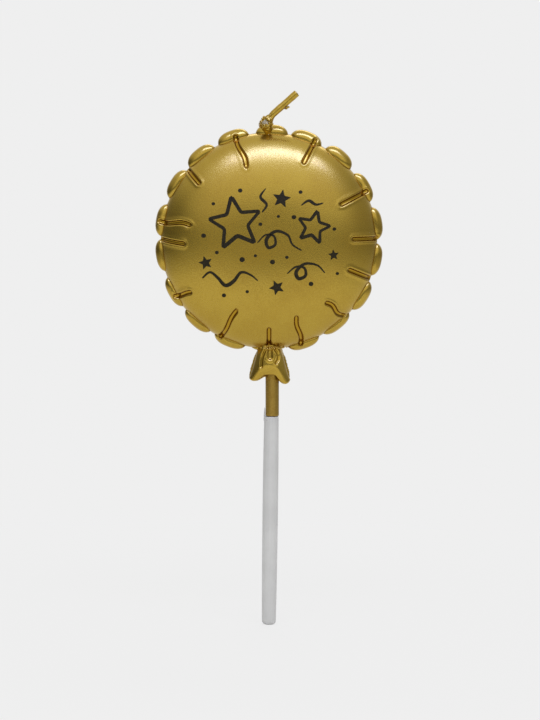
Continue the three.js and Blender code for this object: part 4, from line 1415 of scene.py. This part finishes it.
def pale_floor():
    """The floor: as pale as the air to the camera and in mirrors, and lit by the lamps for matt light."""
    material = bpy.data.materials.new("pale_floor")
    material.use_nodes = True
    tree = material.node_tree
    tree.nodes.clear()
    lit = node(tree, "ShaderNodeBsdfDiffuse", {0: (PALE, PALE, PALE, 1)})
    place = node(tree, "ShaderNodeTexCoord", output=3)
    away = node(tree, "ShaderNodeVectorMath", {0: place}, 1, operation="LENGTH")
    near = away.ramp(*SHADOW_REACH, 1, 0)
    path = tree.nodes.new("ShaderNodeLightPath")
    kinds = ("Is Camera Ray", "Is Glossy Ray", "Is Transmission Ray")
    seen, mirrored, through_glass = (Value(tree, path.outputs[kind]) for kind in kinds)
    share = (seen + mirrored + through_glass).work("MINIMUM", 1) * (1 - near * FLOOR_SHADOW)
    x, y, z = in_parts(tree, place)
    right = x.ramp(*SHADE_RIGHT_SPAN)
    left = x.ramp(*SHADE_LEFT_SPAN, 1, 0)
    level = 1 - mirrored * (near * FLOOR_SHADE + right * FLOOR_SHADE_RIGHT + left * FLOOR_SHADE_LEFT)
    glow = node(tree, "ShaderNodeEmission", {0: (PALE, PALE, PALE, 1), 1: level})
    shown = node(tree, "ShaderNodeMixShader", {0: share, 1: lit, 2: glow})
    node(tree, "ShaderNodeOutputMaterial", {0: shown})
    return material


def studio_air():
    """The world: flat and pale to the camera, dimmer to the gold by the direction that it looks in."""
    world = bpy.data.worlds.new("studio_air")
    world.use_nodes = True
    tree = world.node_tree
    tree.nodes.clear()
    x, y, z = in_parts(tree, node(tree, "ShaderNodeTexCoord"))
    horizon = (z + HORIZON_DROP).work("ABSOLUTE").ramp(*HORIZON_SPAN, 1, 0)
    front = (y * -1).ramp(*FRONT_SPAN)
    left = (x * -1).ramp(*LEFT_SPAN) * z.ramp(*LEFT_HEIGHTS, *LEFT_WEAKENS)
    right = x.ramp(*RIGHT_SPAN)
    overhead = z.ramp(*OVERHEAD_SPAN)
    glow = front * z.ramp(*GLOW_HEIGHTS)
    dim = (1 - horizon * (HORIZON_DIM + front * FRONT_DIM)) * (1 - left * LEFT_DIM) * (1 - right * RIGHT_DIM)
    dim = dim * (1 - overhead * OVERHEAD_DIM) * (1 + glow * FRONT_GLOW)
    to_camera = node(tree, "ShaderNodeLightPath")
    shade = dim + (1 - dim) * to_camera
    level = node(tree, "ShaderNodeCombineColor", {0: shade * PALE, 1: shade * PALE, 2: shade * PALE})
    light = node(tree, "ShaderNodeBackground", {0: level, 1: 1.0})
    node(tree, "ShaderNodeOutputWorld", {0: light})
    return world


def soft_box(name, direction, size, radiance, tint=(1, 1, 1), mirrored=True, lighting=True):
    """A rectangular area lamp aimed at the balloon from an azimuth and elevation.

    It can be left out of mirrors or of matt light.
    """
    width, height = size
    lamp = bpy.data.lights.new(name, "AREA")
    lamp.shape = "RECTANGLE"
    lamp.size, lamp.size_y = width, height
    lamp.energy = radiance * math.pi * width * height
    lamp.color = tint
    holder = new_object(name, lamp)
    azimuth, elevation = (math.radians(angle) for angle in direction)
    away = Vector((
        math.sin(azimuth) * math.cos(elevation),
        -math.cos(azimuth) * math.cos(elevation),
        math.sin(elevation),
    ))
    turn = away.to_track_quat("Z", "Y").to_matrix().to_4x4()
    holder.matrix_world = Matrix.Translation(LAMP_AIM + away * LAMP_DISTANCE) @ turn
    holder.visible_camera = False
    holder.visible_glossy = mirrored
    holder.visible_diffuse = lighting


floor_mesh = bpy.data.meshes.new("floor")
floor_mesh.from_pydata(
    [(x * FLOOR_SIZE / 2, y * FLOOR_SIZE / 2, 0) for x, y in ((-1, -1), (1, -1), (1, 1), (-1, 1))],
    [], [(0, 1, 2, 3)])
floor_mesh.materials.append(pale_floor())
floor = new_object("floor", floor_mesh)
bpy.context.scene.world = studio_air()
soft_box("front_mirrored", (6.5, 54.5), (1.5, 0.42), 2.9, tint=(0.79, 1.07, 4.7), lighting=False)
soft_box("front_lighting", (8, 49), (1.35, 0.62), 1.9, mirrored=False)
soft_box("back_box", (170, 45), (0.9, 0.4), 2.0)
